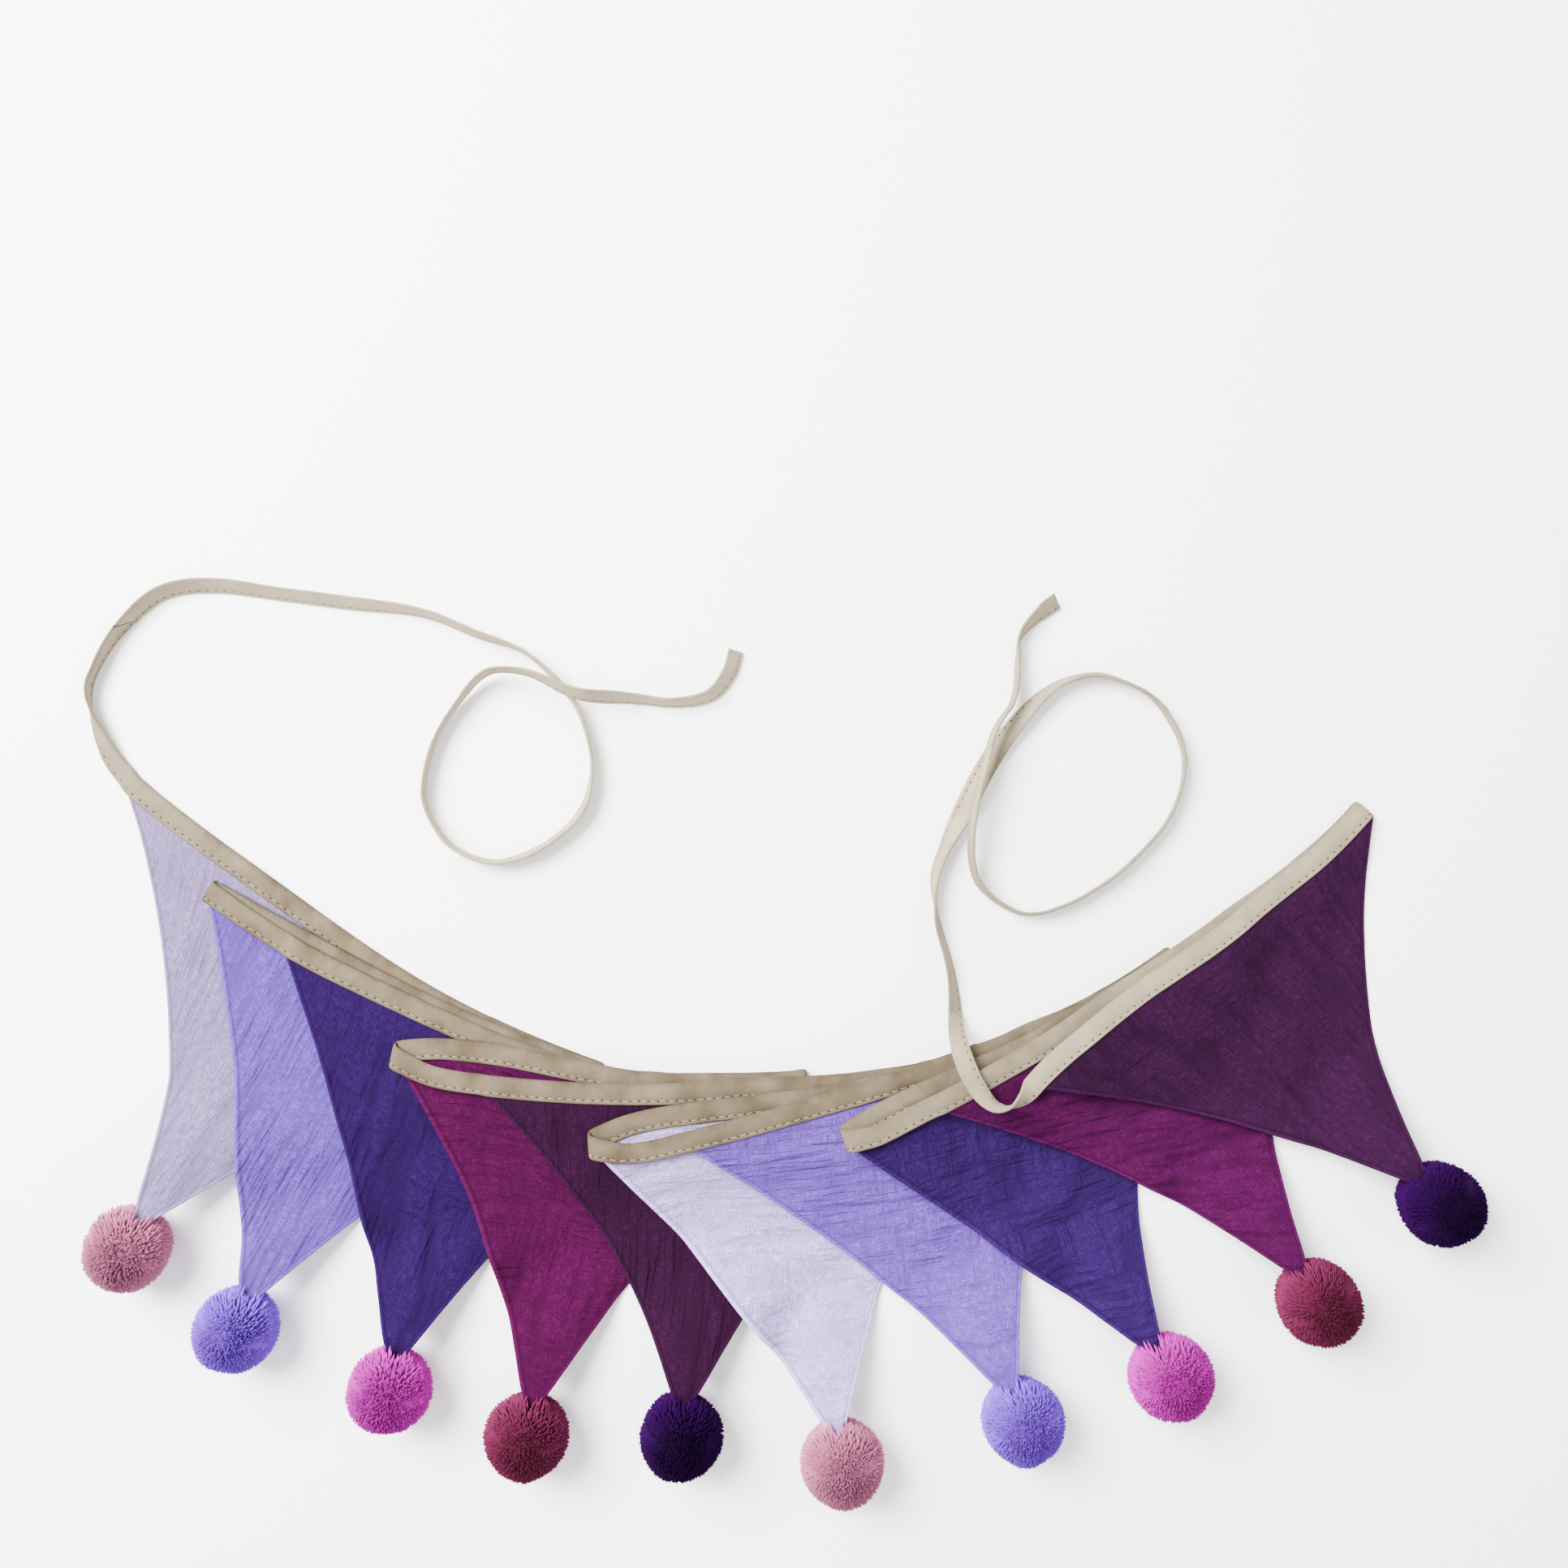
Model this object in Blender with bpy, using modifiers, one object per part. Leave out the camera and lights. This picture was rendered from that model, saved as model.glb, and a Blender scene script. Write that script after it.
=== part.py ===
"""Fabric bunting, laid on a flat surface and folded back and forth.

One length of folded cotton tape is the binding of ten triangular flags and ends in two
free ties. Each flag carries a yarn pompom at its tip. The tape lies in ten runs, one on
the other. Odd runs go to the right, even runs come back to the left, and the folds lie in
the bare tape beside the even flags, so each pair of runs steps to the right.

Lengths in this file are millimetres until a mesh is made, which is in metres. X points
right, Y away from whoever looks at the bunting, and Z up, with the surface at Z = 0.
"""

import math
from collections import namedtuple

import bmesh
import bpy
import numpy as np
from mathutils import Matrix, Vector

MM = 0.001

# Cloth and tape
FLAG_WIDTH = 200.0
FLAG_THICK = 1.2
TAPE_WIDTH = 10.0
TAPE_THICK = 1.6
BINDING_THICK = 3.0
SLOT_DEPTH = 5.0
SLOT_THICK = 2.0
FLAG_IN_SLOT = 4.5
GAP_BETWEEN_FLAGS = 50.0
CORNER_TO_FOLD = 3.0
SLOT_PAST_FLAG = 0.6
THICKEN_LENGTH = 3.0

# Pompoms
POMPOM_RADIUS = 20.0
POMPOM_HEIGHT = 18.2
CORE_RADIUS = 12.4
LOCK_TAPER = 0.3
LOCK_SHOULDER = 2.2
LOCK_UNEVEN = 0.6
FOOT_TAPER = 0.6
FOOT_STEEPNESS = 0.85
TIP_TO_CENTRE = 10.4
TIP_ABOVE_CENTRE = 6.0

# How cloth lies on cloth
LAYER_GAP = 0.6
TIP_LEVEL = 13.0
TIP_SLOPE = 0.45
CREASE_BLEND = 14.0
MAP_CELL = 2.0
MAP_HALF = (345.0, 235.0)
REACH_CELLS = 4
SOFT_CELLS = 2
TAPE_LOOKOUT = (-8.0, -4.0, 0.0, 4.0, 8.0)
FLAG_LOOKOUT = 7.0
TAPE_SLOPE = 0.35

# Mesh steps
FLAG_ROWS = 12
GAP_STEP = 12.0
TIE_STEP = 9.0
FOLD_STEPS = 4
CURVE_SAMPLES = 100

# Each run of tape along its middle line: its left end, two points on the way and its right
# end. The angles are the directions at its ends, in degrees above the X axis.
Run = namedtuple("Run", "left left_angle inner_left inner_right right right_angle")
RUNS = (
    Run((-308.5, 122.0), -41.0, (-253.5, 80.0), (-167.5, 21.5), (-84.8, -15.0), -20.0),
    Run((-272.7, 74.4), -30.0, (-241.5, 57.0), (-165.5, 17.5), (-84.8, -15.0), -19.0),
    Run((-272.7, 74.4), -38.0, (-205.5, 33.0), (-86.5, -14.0), (13.1, -16.9), 8.0),
    Run((-183.7, -2.4), 15.0, (-141.0, -2.0), (-63.5, -16.5), (13.1, -16.9), 4.0),
    Run((-183.7, -2.4), -42.0, (-140.5, -16.5), (-25.0, -20.0), (96.0, -3.4), 27.0),
    Run((-91.6, -43.3), 30.0, (-62.5, -32.0), (28.0, -21.5), (96.0, -3.4), 24.0),
    Run((-91.6, -43.3), -28.0, (-32.5, -38.5), (123.5, 7.5), (187.4, 43.6), 36.0),
    Run((26.2, -41.4), 45.0, (54.0, -24.5), (122.5, 5.0), (187.4, 43.6), 36.0),
    Run((26.2, -41.4), -12.0, (57.5, -31.0), (145.5, 17.0), (277.2, 113.8), 49.0),
    Run((116.0, -14.0), 48.0, (156.0, 19.0), (216.0, 60.0), (277.2, 113.8), 52.0),
)

# Each flag: where its pompom's centre lies, and how far its two side edges are drawn in at
# their middle.
Flag = namedtuple("Flag", "pompom left_drawn_in right_drawn_in")
FLAGS = (
    Flag((-303.6, -91.6), 12.0, 0.0),
    Flag((-253.3, -128.4), 2.0, 7.0),
    Flag((-182.3, -156.6), 0.0, 8.0),
    Flag((-119.1, -178.0), 6.0, 3.0),
    Flag((-47.7, -178.0), 8.0, 2.0),
    Flag((27.1, -190.4), 2.0, 6.0),
    Flag((110.5, -171.2), 2.0, 9.0),
    Flag((178.9, -150.6), -3.0, 12.0),
    Flag((247.3, -116.0), 6.0, 12.0),
    Flag((303.6, -70.5), 4.0, 10.0),
)

# The free ties, from the flag outwards. Roll turns the tape about its own length: 0 lies
# flat as on the flags, 90 stands on its stitched edge, 180 lies flat turned over. Lift is
# how far the tape is carried above the surface where it crosses itself.
Tie = namedtuple("Tie", "x y roll lift")
LEFT_TIE = (
    Tie(-320.6, 138.4, 20, 0),
    Tie(-328.9, 164.3, 75, 0),
    Tie(-324.4, 180.6, 84, 0),
    Tie(-312.9, 197.9, 101, 0),
    Tie(-294.2, 213.8, 115, 0),
    Tie(-269.8, 217.4, 124, 0),
    Tie(-237.2, 213.2, 120, 0),
    Tie(-206.0, 209.2, 120, 0),
    Tie(-171.7, 204.6, 107, 0),
    Tie(-145.0, 194.3, 105, 0),
    Tie(-123.5, 186.3, 95, 0),
    Tie(-106.2, 171.1, 106, 0),
    Tie(-96.6, 156.5, 101, 0),
    Tie(-90.8, 133.4, 100, 0),
    Tie(-94.5, 113.0, 110, 0),
    Tie(-106.3, 99.4, 104, 0),
    Tie(-121.6, 90.1, 103, 0),
    Tie(-139.0, 86.6, 95, 0),
    Tie(-156.9, 93.9, 87, 0),
    Tie(-167.8, 108.4, 83, 0),
    Tie(-170.5, 121.8, 83, 0),
    Tie(-165.4, 143.7, 83, 0),
    Tie(-154.3, 161.4, 88, 0.8),
    Tie(-141.4, 175.0, 96, 4),
    Tie(-127.9, 176.8, 100, 8),
    Tie(-114.8, 173.6, 106, 11.2),
    Tie(-102.3, 167.6, 116, 12.2),
    Tie(-92.1, 164.6, 120, 11),
    Tie(-81.0, 164.2, 124, 5.5),
    Tie(-68.2, 163.6, 113, 0),
    Tie(-52.7, 161.9, 110, 0),
    Tie(-35.1, 165.2, 120, 0),
    Tie(-26.0, 176.1, 130, 0),
    Tie(-22.8, 186.5, 130, 0),
)
RIGHT_TIE = (
    Tie(110.8, -20.3, 35, 0),
    Tie(103.7, -24.4, 75, 0),
    Tie(95.8, -23.3, 115, 0),
    Tie(89.1, -16.6, 145, 0),
    Tie(84.0, -7.2, 155, 0),
    Tie(80.9, 3.7, 150, 0),
    Tie(80.7, 18.1, 130, 0),
    Tie(78.3, 37.2, 112, 0),
    Tie(72.5, 58.3, 106, 0),
    Tie(71.3, 78.4, 76, 0),
    Tie(76.7, 94.2, 64, 0),
    Tie(85.3, 110.7, 24, 0),
    Tie(95.2, 130.1, 20, 0),
    Tie(108.3, 150.0, 42, 0),
    Tie(125.2, 167.6, 70, 0),
    Tie(141.5, 174.6, 80, 0),
    Tie(154.7, 173.9, 76, 0),
    Tie(173.0, 165.5, 84, 0),
    Tie(183.5, 152.4, 87, 0),
    Tie(189.1, 137.1, 81, 0),
    Tie(187.3, 119.7, 78, 0),
    Tie(180.4, 104.7, 78, 0),
    Tie(171.1, 93.7, 78, 0),
    Tie(157.8, 80.9, 81, 0),
    Tie(142.7, 71.0, 80, 0),
    Tie(131.8, 65.6, 81, 0),
    Tie(115.8, 61.8, 82, 0),
    Tie(102.1, 67.2, 82, 0),
    Tie(90.9, 78.1, 82, 2.5),
    Tie(87.5, 95.3, 83, 7),
    Tie(89.5, 113.8, 84, 8.5),
    Tie(94.1, 132.6, 84, 8.5),
    Tie(98.4, 148.8, 86, 9),
    Tie(107.9, 163.0, 88, 4),
    Tie(110.6, 180.9, 90, 0),
    Tie(111.5, 192.8, 104, 0),
    Tie(119.8, 202.9, 124, 0),
    Tie(129.2, 210.2, 136, 0),
)

# Colour, roughness and name of each material
TAPE_COLOUR = (0.61, 0.54, 0.41)
FLAG_COLOURS = (
    (0.63, 0.57, 0.70),
    (0.37, 0.30, 0.63),
    (0.07, 0.04, 0.24),
    (0.19, 0.02, 0.13),
    (0.09, 0.03, 0.10),
)
POMPOM_COLOURS = (
    (0.55, 0.27, 0.33),
    (0.25, 0.22, 0.62),
    (0.58, 0.15, 0.47),
    (0.30, 0.07, 0.12),
    (0.03, 0.00, 0.15),
)
CLOTH_ROUGHNESS = 0.9

# A station of the tape: its folded edge, its stitched edge, its thickness, and whether the
# slot that holds a flag is open there.
Station = namedtuple("Station", "folded stitched thick slotted")


def unit(vector):
    """The vector at length one."""
    return vector / np.linalg.norm(vector)


def heading(degrees):
    """A direction in plan from its angle."""
    return np.array((math.cos(math.radians(degrees)), math.sin(math.radians(degrees))))


def right_of(direction):
    """The direction in plan that lies to the right of another."""
    return np.array((direction[1], -direction[0]))


def hermite(start, start_tangent, end, end_tangent, steps):
    """Points along a cubic from start to end, without its last point."""
    t = np.arange(steps)[:, None] / steps
    return (
        (2 * t**3 - 3 * t**2 + 1) * start
        + (t**3 - 2 * t**2 + t) * start_tangent
        + (3 * t**2 - 2 * t**3) * end
        + (t**3 - t**2) * end_tangent
    )


class Path:
    """A line of points that is read by the length along it."""

    def __init__(self, points):
        self.points = points
        steps = np.linalg.norm(np.diff(points, axis=0), axis=1)
        self.at_point = np.concatenate(([0.0], np.cumsum(steps)))
        self.length = self.at_point[-1]

    def at(self, distance):
        columns = range(self.points.shape[1])
        return np.array([np.interp(distance, self.at_point, self.points[:, i]) for i in columns])

    def direction(self, distance, span=1.0):
        ahead = min(distance + span, self.length)
        behind = max(distance - span, 0.0)
        return unit(self.at(ahead)[:2] - self.at(behind)[:2])


class HeightMap:
    """How high the cloth already laid down reaches, over a grid of the plan."""

    def __init__(self):
        self.columns = int(2 * MAP_HALF[0] / MAP_CELL) + 1
        self.rows = int(2 * MAP_HALF[1] / MAP_CELL) + 1
        self.top = np.zeros((self.rows, self.columns))
        self.bed = self.top.copy()

    def add_triangle(self, corners, rise):
        """Raise the map to a triangle's face, carried up by rise."""
        p = np.array(corners)
        column = (p[:, 0] + MAP_HALF[0]) / MAP_CELL
        row = (p[:, 1] + MAP_HALF[1]) / MAP_CELL
        across = np.arange(int(column.min()), int(column.max()) + 2)
        along = np.arange(int(row.min()), int(row.max()) + 2)
        x, y = np.meshgrid(across, along)
        area = (column[1] - column[0]) * (row[2] - row[0])
        area -= (column[2] - column[0]) * (row[1] - row[0])
        if abs(area) < 1e-6:
            return
        b = ((x - column[0]) * (row[2] - row[0]) - (column[2] - column[0]) * (y - row[0])) / area
        c = ((column[1] - column[0]) * (y - row[0]) - (x - column[0]) * (row[1] - row[0])) / area
        a = 1.0 - b - c
        inside = (a > -0.2) & (b > -0.2) & (c > -0.2)
        height = a * p[0, 2] + b * p[1, 2] + c * p[2, 2] + rise
        height = np.minimum(height, p[:, 2].max() + rise)
        patch = self.top[along[0]:along[-1] + 1, across[0]:across[-1] + 1]
        np.maximum(patch, np.where(inside, height, 0.0), out=patch)

    def add_quad(self, a, b, c, d, rise):
        self.add_triangle((a, b, c), rise)
        self.add_triangle((a, c, d), rise)

    def settle(self):
        """Work out the soft bed that the next layer lies on."""
        reach = REACH_CELLS
        wide = np.pad(self.top, reach, mode="edge")
        grown = self.top.copy()
        for i in range(-reach, reach + 1):
            for j in range(-reach, reach + 1):
                if math.hypot(i, j) > reach + 0.5:
                    continue
                shifted = wide[reach + i:reach + i + self.rows, reach + j:reach + j + self.columns]
                grown = np.maximum(grown, shifted)
        soft = SOFT_CELLS
        wide = np.pad(grown, soft, mode="edge")
        total = np.zeros_like(grown)
        for i in range(2 * soft + 1):
            for j in range(2 * soft + 1):
                total += wide[i:i + self.rows, j:j + self.columns]
        self.bed = total / (2 * soft + 1) ** 2

    def height(self, point):
        """The bed's height under a point of the plan."""
        column = (point[0] + MAP_HALF[0]) / MAP_CELL
        row = (point[1] + MAP_HALF[1]) / MAP_CELL
        i = int(row)
        j = int(column)
        v = row - i
        u = column - j
        near = (1 - u) * self.bed[i, j] + u * self.bed[i, j + 1]
        far = (1 - u) * self.bed[i + 1, j] + u * self.bed[i + 1, j + 1]
        return (1 - v) * near + v * far

    def height_along(self, point, direction):
        """The highest bed just before, at and just after a point of the tape."""
        return max(self.height(point + direction * ahead) for ahead in TAPE_LOOKOUT)

    def height_around(self, point):
        """The highest bed at a point of a flag and in a ring round it."""
        ring = [point + FLAG_LOOKOUT * heading(45.0 * turn) for turn in range(8)]
        return max(self.height(spot) for spot in [point] + ring)


def run_path(number):
    """The plan of one run of tape, in the direction in which the tape goes."""
    run = RUNS[number]
    stops = np.array((run.left, run.inner_left, run.inner_right, run.right))
    headings = (
        heading(run.left_angle),
        unit(stops[2] - stops[0]),
        unit(stops[3] - stops[1]),
        heading(run.right_angle),
    )
    pieces = []
    for i in range(3):
        reach = np.linalg.norm(stops[i + 1] - stops[i])
        here = reach * headings[i]
        there = reach * headings[i + 1]
        pieces.append(hermite(stops[i], here, stops[i + 1], there, CURVE_SAMPLES))
    pieces.append(stops[-1:])
    points = np.concatenate(pieces)
    if number % 2:
        points = points[::-1]
    return Path(points)


def crease_between(number, path, next_path):
    """The half width of tape that lies along the fold after a run, towards the flags."""
    outward = unit(path.direction(path.length) - next_path.direction(0.0))
    side = 1.0 if number % 2 == 0 else -1.0
    along = side * right_of(outward)
    straight = side * right_of(path.direction(path.length))
    return along * TAPE_WIDTH / 2 / abs(np.dot(along, straight)), outward


def flag_span(number, path):
    """Where a run's flag starts and ends along the run."""
    if number % 2:
        return CORNER_TO_FOLD, path.length - CORNER_TO_FOLD * (number < len(RUNS) - 1)
    start = GAP_BETWEEN_FLAGS * (number > 0)
    return start, start + FLAG_WIDTH


def run_marks(number, path):
    """The lengths along a run where the tape gets a station, with thickness and slot."""
    start, end = flag_span(number, path)
    marks = []
    if start > CORNER_TO_FOLD:
        steps = round((start - THICKEN_LENGTH) / GAP_STEP)
        spaced = np.linspace(0.0, start - THICKEN_LENGTH, steps + 1)
        marks += [(float(u), TAPE_THICK, False) for u in spaced]
    elif start > 0.0:
        marks.append((0.0, TAPE_THICK, False))
    marks.append((start - SLOT_PAST_FLAG, BINDING_THICK, True))
    marks += [(float(u), BINDING_THICK, True) for u in np.linspace(start, end, FLAG_ROWS + 1)]
    marks.append((end + SLOT_PAST_FLAG, BINDING_THICK, True))
    rest = path.length - end
    if rest > CORNER_TO_FOLD:
        steps = round((rest - THICKEN_LENGTH) / GAP_STEP)
        spaced = np.linspace(end + THICKEN_LENGTH, path.length, steps + 1)
        marks += [(float(u), TAPE_THICK, False) for u in spaced]
    elif rest > 0.0:
        marks.append((path.length, TAPE_THICK, False))
    return marks


def eased(heights, distances):
    """Heights raised where needed so that the tape nowhere slopes too steeply."""
    apart = np.abs(distances[:, None] - distances[None, :])
    return np.max(heights[None, :] - TAPE_SLOPE * apart, axis=1)


def run_stations(number, path, creases, bed):
    """The tape's stations along one run, laid on the bed."""
    side = 1.0 if number % 2 == 0 else -1.0
    marks = run_marks(number, path)
    edges = ([], [])
    for distance, thick, slotted in marks:
        inside = min(max(distance, 0.0), path.length)
        forward = path.direction(inside)
        middle = path.at(inside) + forward * (distance - inside)
        half = side * right_of(forward) * TAPE_WIDTH / 2
        for crease, away in ((creases[0], distance), (creases[1], path.length - distance)):
            if crease is not None and away < CREASE_BLEND:
                share = 1.0 - max(away, 0.0) / CREASE_BLEND
                half = half * (1.0 - share) + crease * share
        for edge, point in zip(edges, (middle - half, middle + half)):
            edge.append((point[0], point[1], bed.height_along(point, forward) + thick / 2))
    distances = np.array([mark[0] for mark in marks])
    laid = []
    for edge in edges:
        points = np.array(edge)
        points[:, 2] = eased(points[:, 2], distances)
        laid.append(points)
    return [Station(a, b, mark[1], mark[2]) for a, b, mark in zip(*laid, marks)]


def fold_stations(before, after, outward):
    """The stations that roll the tape up and over at a fold."""
    rise = (after.folded[2] + after.stitched[2] - before.folded[2] - before.stitched[2]) / 4
    stations = []
    for step in range(1, FOLD_STEPS):
        angle = math.pi * step / FOLD_STEPS
        out = outward * rise * math.sin(angle)
        share = (1.0 - math.cos(angle)) / 2
        edges = []
        for low, high in ((before.folded, after.folded), (before.stitched, after.stitched)):
            point = low + (high - low) * share
            edges.append(point + np.array((out[0], out[1], 0.0)))
        stations.append(Station(edges[0], edges[1], TAPE_THICK, False))
    return stations


def smooth_route(rows):
    """A smooth line through a tie's rows, as x, y, roll and lift."""
    points = np.array(rows, dtype=float)
    ends = np.concatenate((2 * points[:1] - points[1:2], points, 2 * points[-1:] - points[-2:-1]))
    pieces = []
    for i in range(1, len(ends) - 2):
        into = (ends[i + 1] - ends[i - 1]) / 2
        out = (ends[i + 2] - ends[i]) / 2
        pieces.append(hermite(ends[i], into, ends[i + 1], out, 12))
    pieces.append(points[-1:])
    return Path(np.concatenate(pieces))


def tie_stations(rows, root, side, bed):
    """The stations of a free tie, from its flag outwards, with the root station left out."""
    start = (root.folded + root.stitched) / 2
    path = smooth_route(((start[0], start[1], 0.0, 0.0),) + rows)
    steps = round(path.length / TIE_STEP)
    stations = []
    for step in range(1, steps + 1):
        distance = path.length * step / steps
        x, y, roll, lift = path.at(distance)
        if step == steps - 1:
            roll = path.at(path.length)[2]
        level = side * right_of(path.direction(distance, TIE_STEP / 2))
        turn = math.radians(roll)
        base = bed.height((x, y)) if bed else 0.0
        middle_height = TAPE_WIDTH / 2 * abs(math.sin(turn)) + TAPE_THICK / 2 * abs(math.cos(turn))
        middle = np.array((x, y, base + lift + middle_height))
        half = TAPE_WIDTH / 2 * np.array((
            math.cos(turn) * level[0],
            math.cos(turn) * level[1],
            -math.sin(turn),
        ))
        stations.append(Station(middle - half, middle + half, TAPE_THICK, False))
    return stations


def flag_surface(number, stations, bed):
    """The points and faces of a flag's middle surface, hung from its tape's stations."""
    columns = [s for s in stations if s.slotted][1:-1]
    top = [s.stitched for s in columns]
    flag = FLAGS[number]
    pompom = np.array(flag.pompom)
    if number % 2:
        top = top[::-1]
        columns = columns[::-1]
    top_middle = (top[0] + top[-1])[:2] / 2
    hang = unit(pompom - top_middle)
    tip = pompom - hang * TIP_TO_CENTRE
    left_in = -right_of(unit(tip - top[0][:2])) * flag.left_drawn_in
    right_in = right_of(unit(tip - top[-1][:2])) * flag.right_drawn_in

    points = []
    for station in columns:
        across = station.folded - station.stitched
        points.append(station.stitched + across * FLAG_IN_SLOT / TAPE_WIDTH)
    points += top
    tip_height = POMPOM_HEIGHT + TIP_ABOVE_CENTRE
    for row in range(1, FLAG_ROWS + 1):
        down = row / FLAG_ROWS
        count = FLAG_ROWS - row
        for column in range(count + 1):
            across = column / count if count else 0.5
            index = across * FLAG_ROWS
            low = min(int(index), FLAG_ROWS - 1)
            on_top = top[low] + (top[low + 1] - top[low]) * (index - low)
            place = on_top[:2] * (1 - down) + tip * down
            bow = 4 * down * (1 - down)
            place = place + bow * ((1 - across) * left_in + across * right_in)
            from_tip = np.linalg.norm(place - tip)
            ramp = tip_height - TIP_SLOPE * max(from_tip - TIP_LEVEL, 0.0)
            height = max(bed.height_around(place) + FLAG_THICK / 2, ramp)
            points.append(np.array((place[0], place[1], height)))

    faces = []
    wide = FLAG_ROWS + 1
    for column in range(FLAG_ROWS):
        faces.append((column, wide + column, wide + column + 1, column + 1))
    start = wide
    for row in range(FLAG_ROWS):
        count = FLAG_ROWS - row
        below = start + count + 1
        for column in range(count):
            faces.append((start + column, below + column, start + column + 1))
            if column < count - 1:
                faces.append((start + column + 1, below + column, below + column + 1))
        start = below
    return points, faces, np.array((tip[0], tip[1], tip_height)), hang


def lay_down():
    """Lay every run and flag on those before it, and return all stations and flags."""
    bed = HeightMap()
    paths = [run_path(number) for number in range(len(RUNS))]
    creases = [crease_between(i, paths[i], paths[i + 1]) for i in range(len(RUNS) - 1)]
    stations = []
    flags = []
    for number, path in enumerate(paths):
        first = creases[number - 1][0] if number > 0 else None
        last = creases[number][0] if number < len(RUNS) - 1 else None
        laid = run_stations(number, path, (first, last), bed)
        if number > 0:
            stations += fold_stations(stations[-1], laid[0], creases[number - 1][1])
        stations += laid
        points, faces, tip, hang = flag_surface(number, laid, bed)
        flags.append((points, faces, tip, hang))
        if number == len(paths) - 1:
            break
        for here, there in zip(laid, laid[1:]):
            rise = max(here.thick, there.thick) / 2 + LAYER_GAP
            bed.add_quad(here.folded, here.stitched, there.stitched, there.folded, rise)
        for face in faces:
            corners = [points[i] for i in face]
            for i in range(1, len(corners) - 1):
                bed.add_triangle((corners[0], corners[i], corners[i + 1]), FLAG_THICK / 2 + LAYER_GAP)
        bed.settle()
    left = tie_stations(LEFT_TIE, stations[0], -1.0, None)
    right = tie_stations(RIGHT_TIE, stations[-1], -1.0, bed)
    return left[::-1] + stations + right, flags


def station_frames(stations):
    """Each station's middle, half width and thickness direction."""
    middles = [(s.folded + s.stitched) / 2 for s in stations]
    steps = [unit(b - a) for a, b in zip(middles, middles[1:])]
    frames = []
    for i, station in enumerate(stations):
        along = steps[max(i - 1, 0)] + steps[min(i, len(steps) - 1)]
        half = (station.stitched - station.folded) / 2
        frames.append((middles[i], half, unit(np.cross(along, half))))
    return frames


def section(station, frame):
    """The points round one station of the tape, from its folded edge."""
    middle, half, through = frame
    edge = station.thick / 2
    lip = SLOT_THICK / 2
    floor = 1.0 - 2.0 * SLOT_DEPTH / TAPE_WIDTH
    corners = [(-1.0, -edge), (1.0, -edge), (1.0, edge), (-1.0, edge)]
    if station.slotted:
        corners[2:2] = [(1.0, -lip), (floor, -lip), (floor, lip), (1.0, lip)]
    points = [middle + half * a + through * b for a, b in corners]
    return [np.array((p[0], p[1], max(p[2], 0.0))) for p in points]


def ring_faces(first, second, open_first, open_second):
    """The faces between two neighbouring sections, whose point numbers are given."""
    faces = []
    if open_first and open_second:
        count = len(first)
        for i in range(count):
            j = (i + 1) % count
            faces.append((first[i], first[j], second[j], second[i]))
        return faces
    ends = (0, 1, -2, -1)
    a = [first[i] for i in ends]
    b = [second[i] for i in ends]
    faces.append((a[0], a[1], b[1], b[0]))
    faces.append((a[2], a[3], b[3], b[2]))
    faces.append((a[3], a[0], b[0], b[3]))
    if open_first:
        low, high = first[2], first[5]
        faces.append((low, first[3], first[4], high))
        faces.append((a[1], low, b[1]))
        faces.append((low, high, b[2], b[1]))
        faces.append((high, a[2], b[2]))
    elif open_second:
        low, high = second[2], second[5]
        faces.append((high, second[4], second[3], low))
        faces.append((a[1], low, b[1]))
        faces.append((a[1], a[2], high, low))
        faces.append((a[2], b[2], high))
    else:
        faces.append((a[1], a[2], b[2], b[1]))
    return faces


def material(name, colour):
    """A plain cloth material."""
    made = bpy.data.materials.new(name)
    made.use_nodes = True
    shader = made.node_tree.nodes["Principled BSDF"]
    shader.inputs["Base Color"].default_value = (*colour, 1.0)
    shader.inputs["Roughness"].default_value = CLOTH_ROUGHNESS
    made.diffuse_color = (*colour, 1.0)
    return made


def add_object(name, mesh, parent, finish):
    """Put a mesh in the bunting's collection under a name."""
    made = bpy.data.objects.new(name, mesh)
    mesh.materials.append(finish)
    parent.users_collection[0].objects.link(made)
    made.parent = parent
    return made


def mesh_of(name, points, faces):
    """A mesh in metres from points in millimetres."""
    mesh = bpy.data.meshes.new(name)
    mesh.from_pydata([tuple(p * MM) for p in points], [], faces)
    mesh.validate()
    return mesh


def tape_mesh(stations):
    """The whole tape as one loft through its stations."""
    points = []
    rings = []
    for station, frame in zip(stations, station_frames(stations)):
        ring = section(station, frame)
        rings.append(list(range(len(points), len(points) + len(ring))))
        points += ring
    faces = [tuple(reversed(rings[0]))]
    for i in range(len(stations) - 1):
        opens = (stations[i].slotted, stations[i + 1].slotted)
        faces += ring_faces(rings[i], rings[i + 1], *opens)
    faces.append(tuple(rings[-1]))
    return mesh_of("tape", points, faces)


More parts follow.
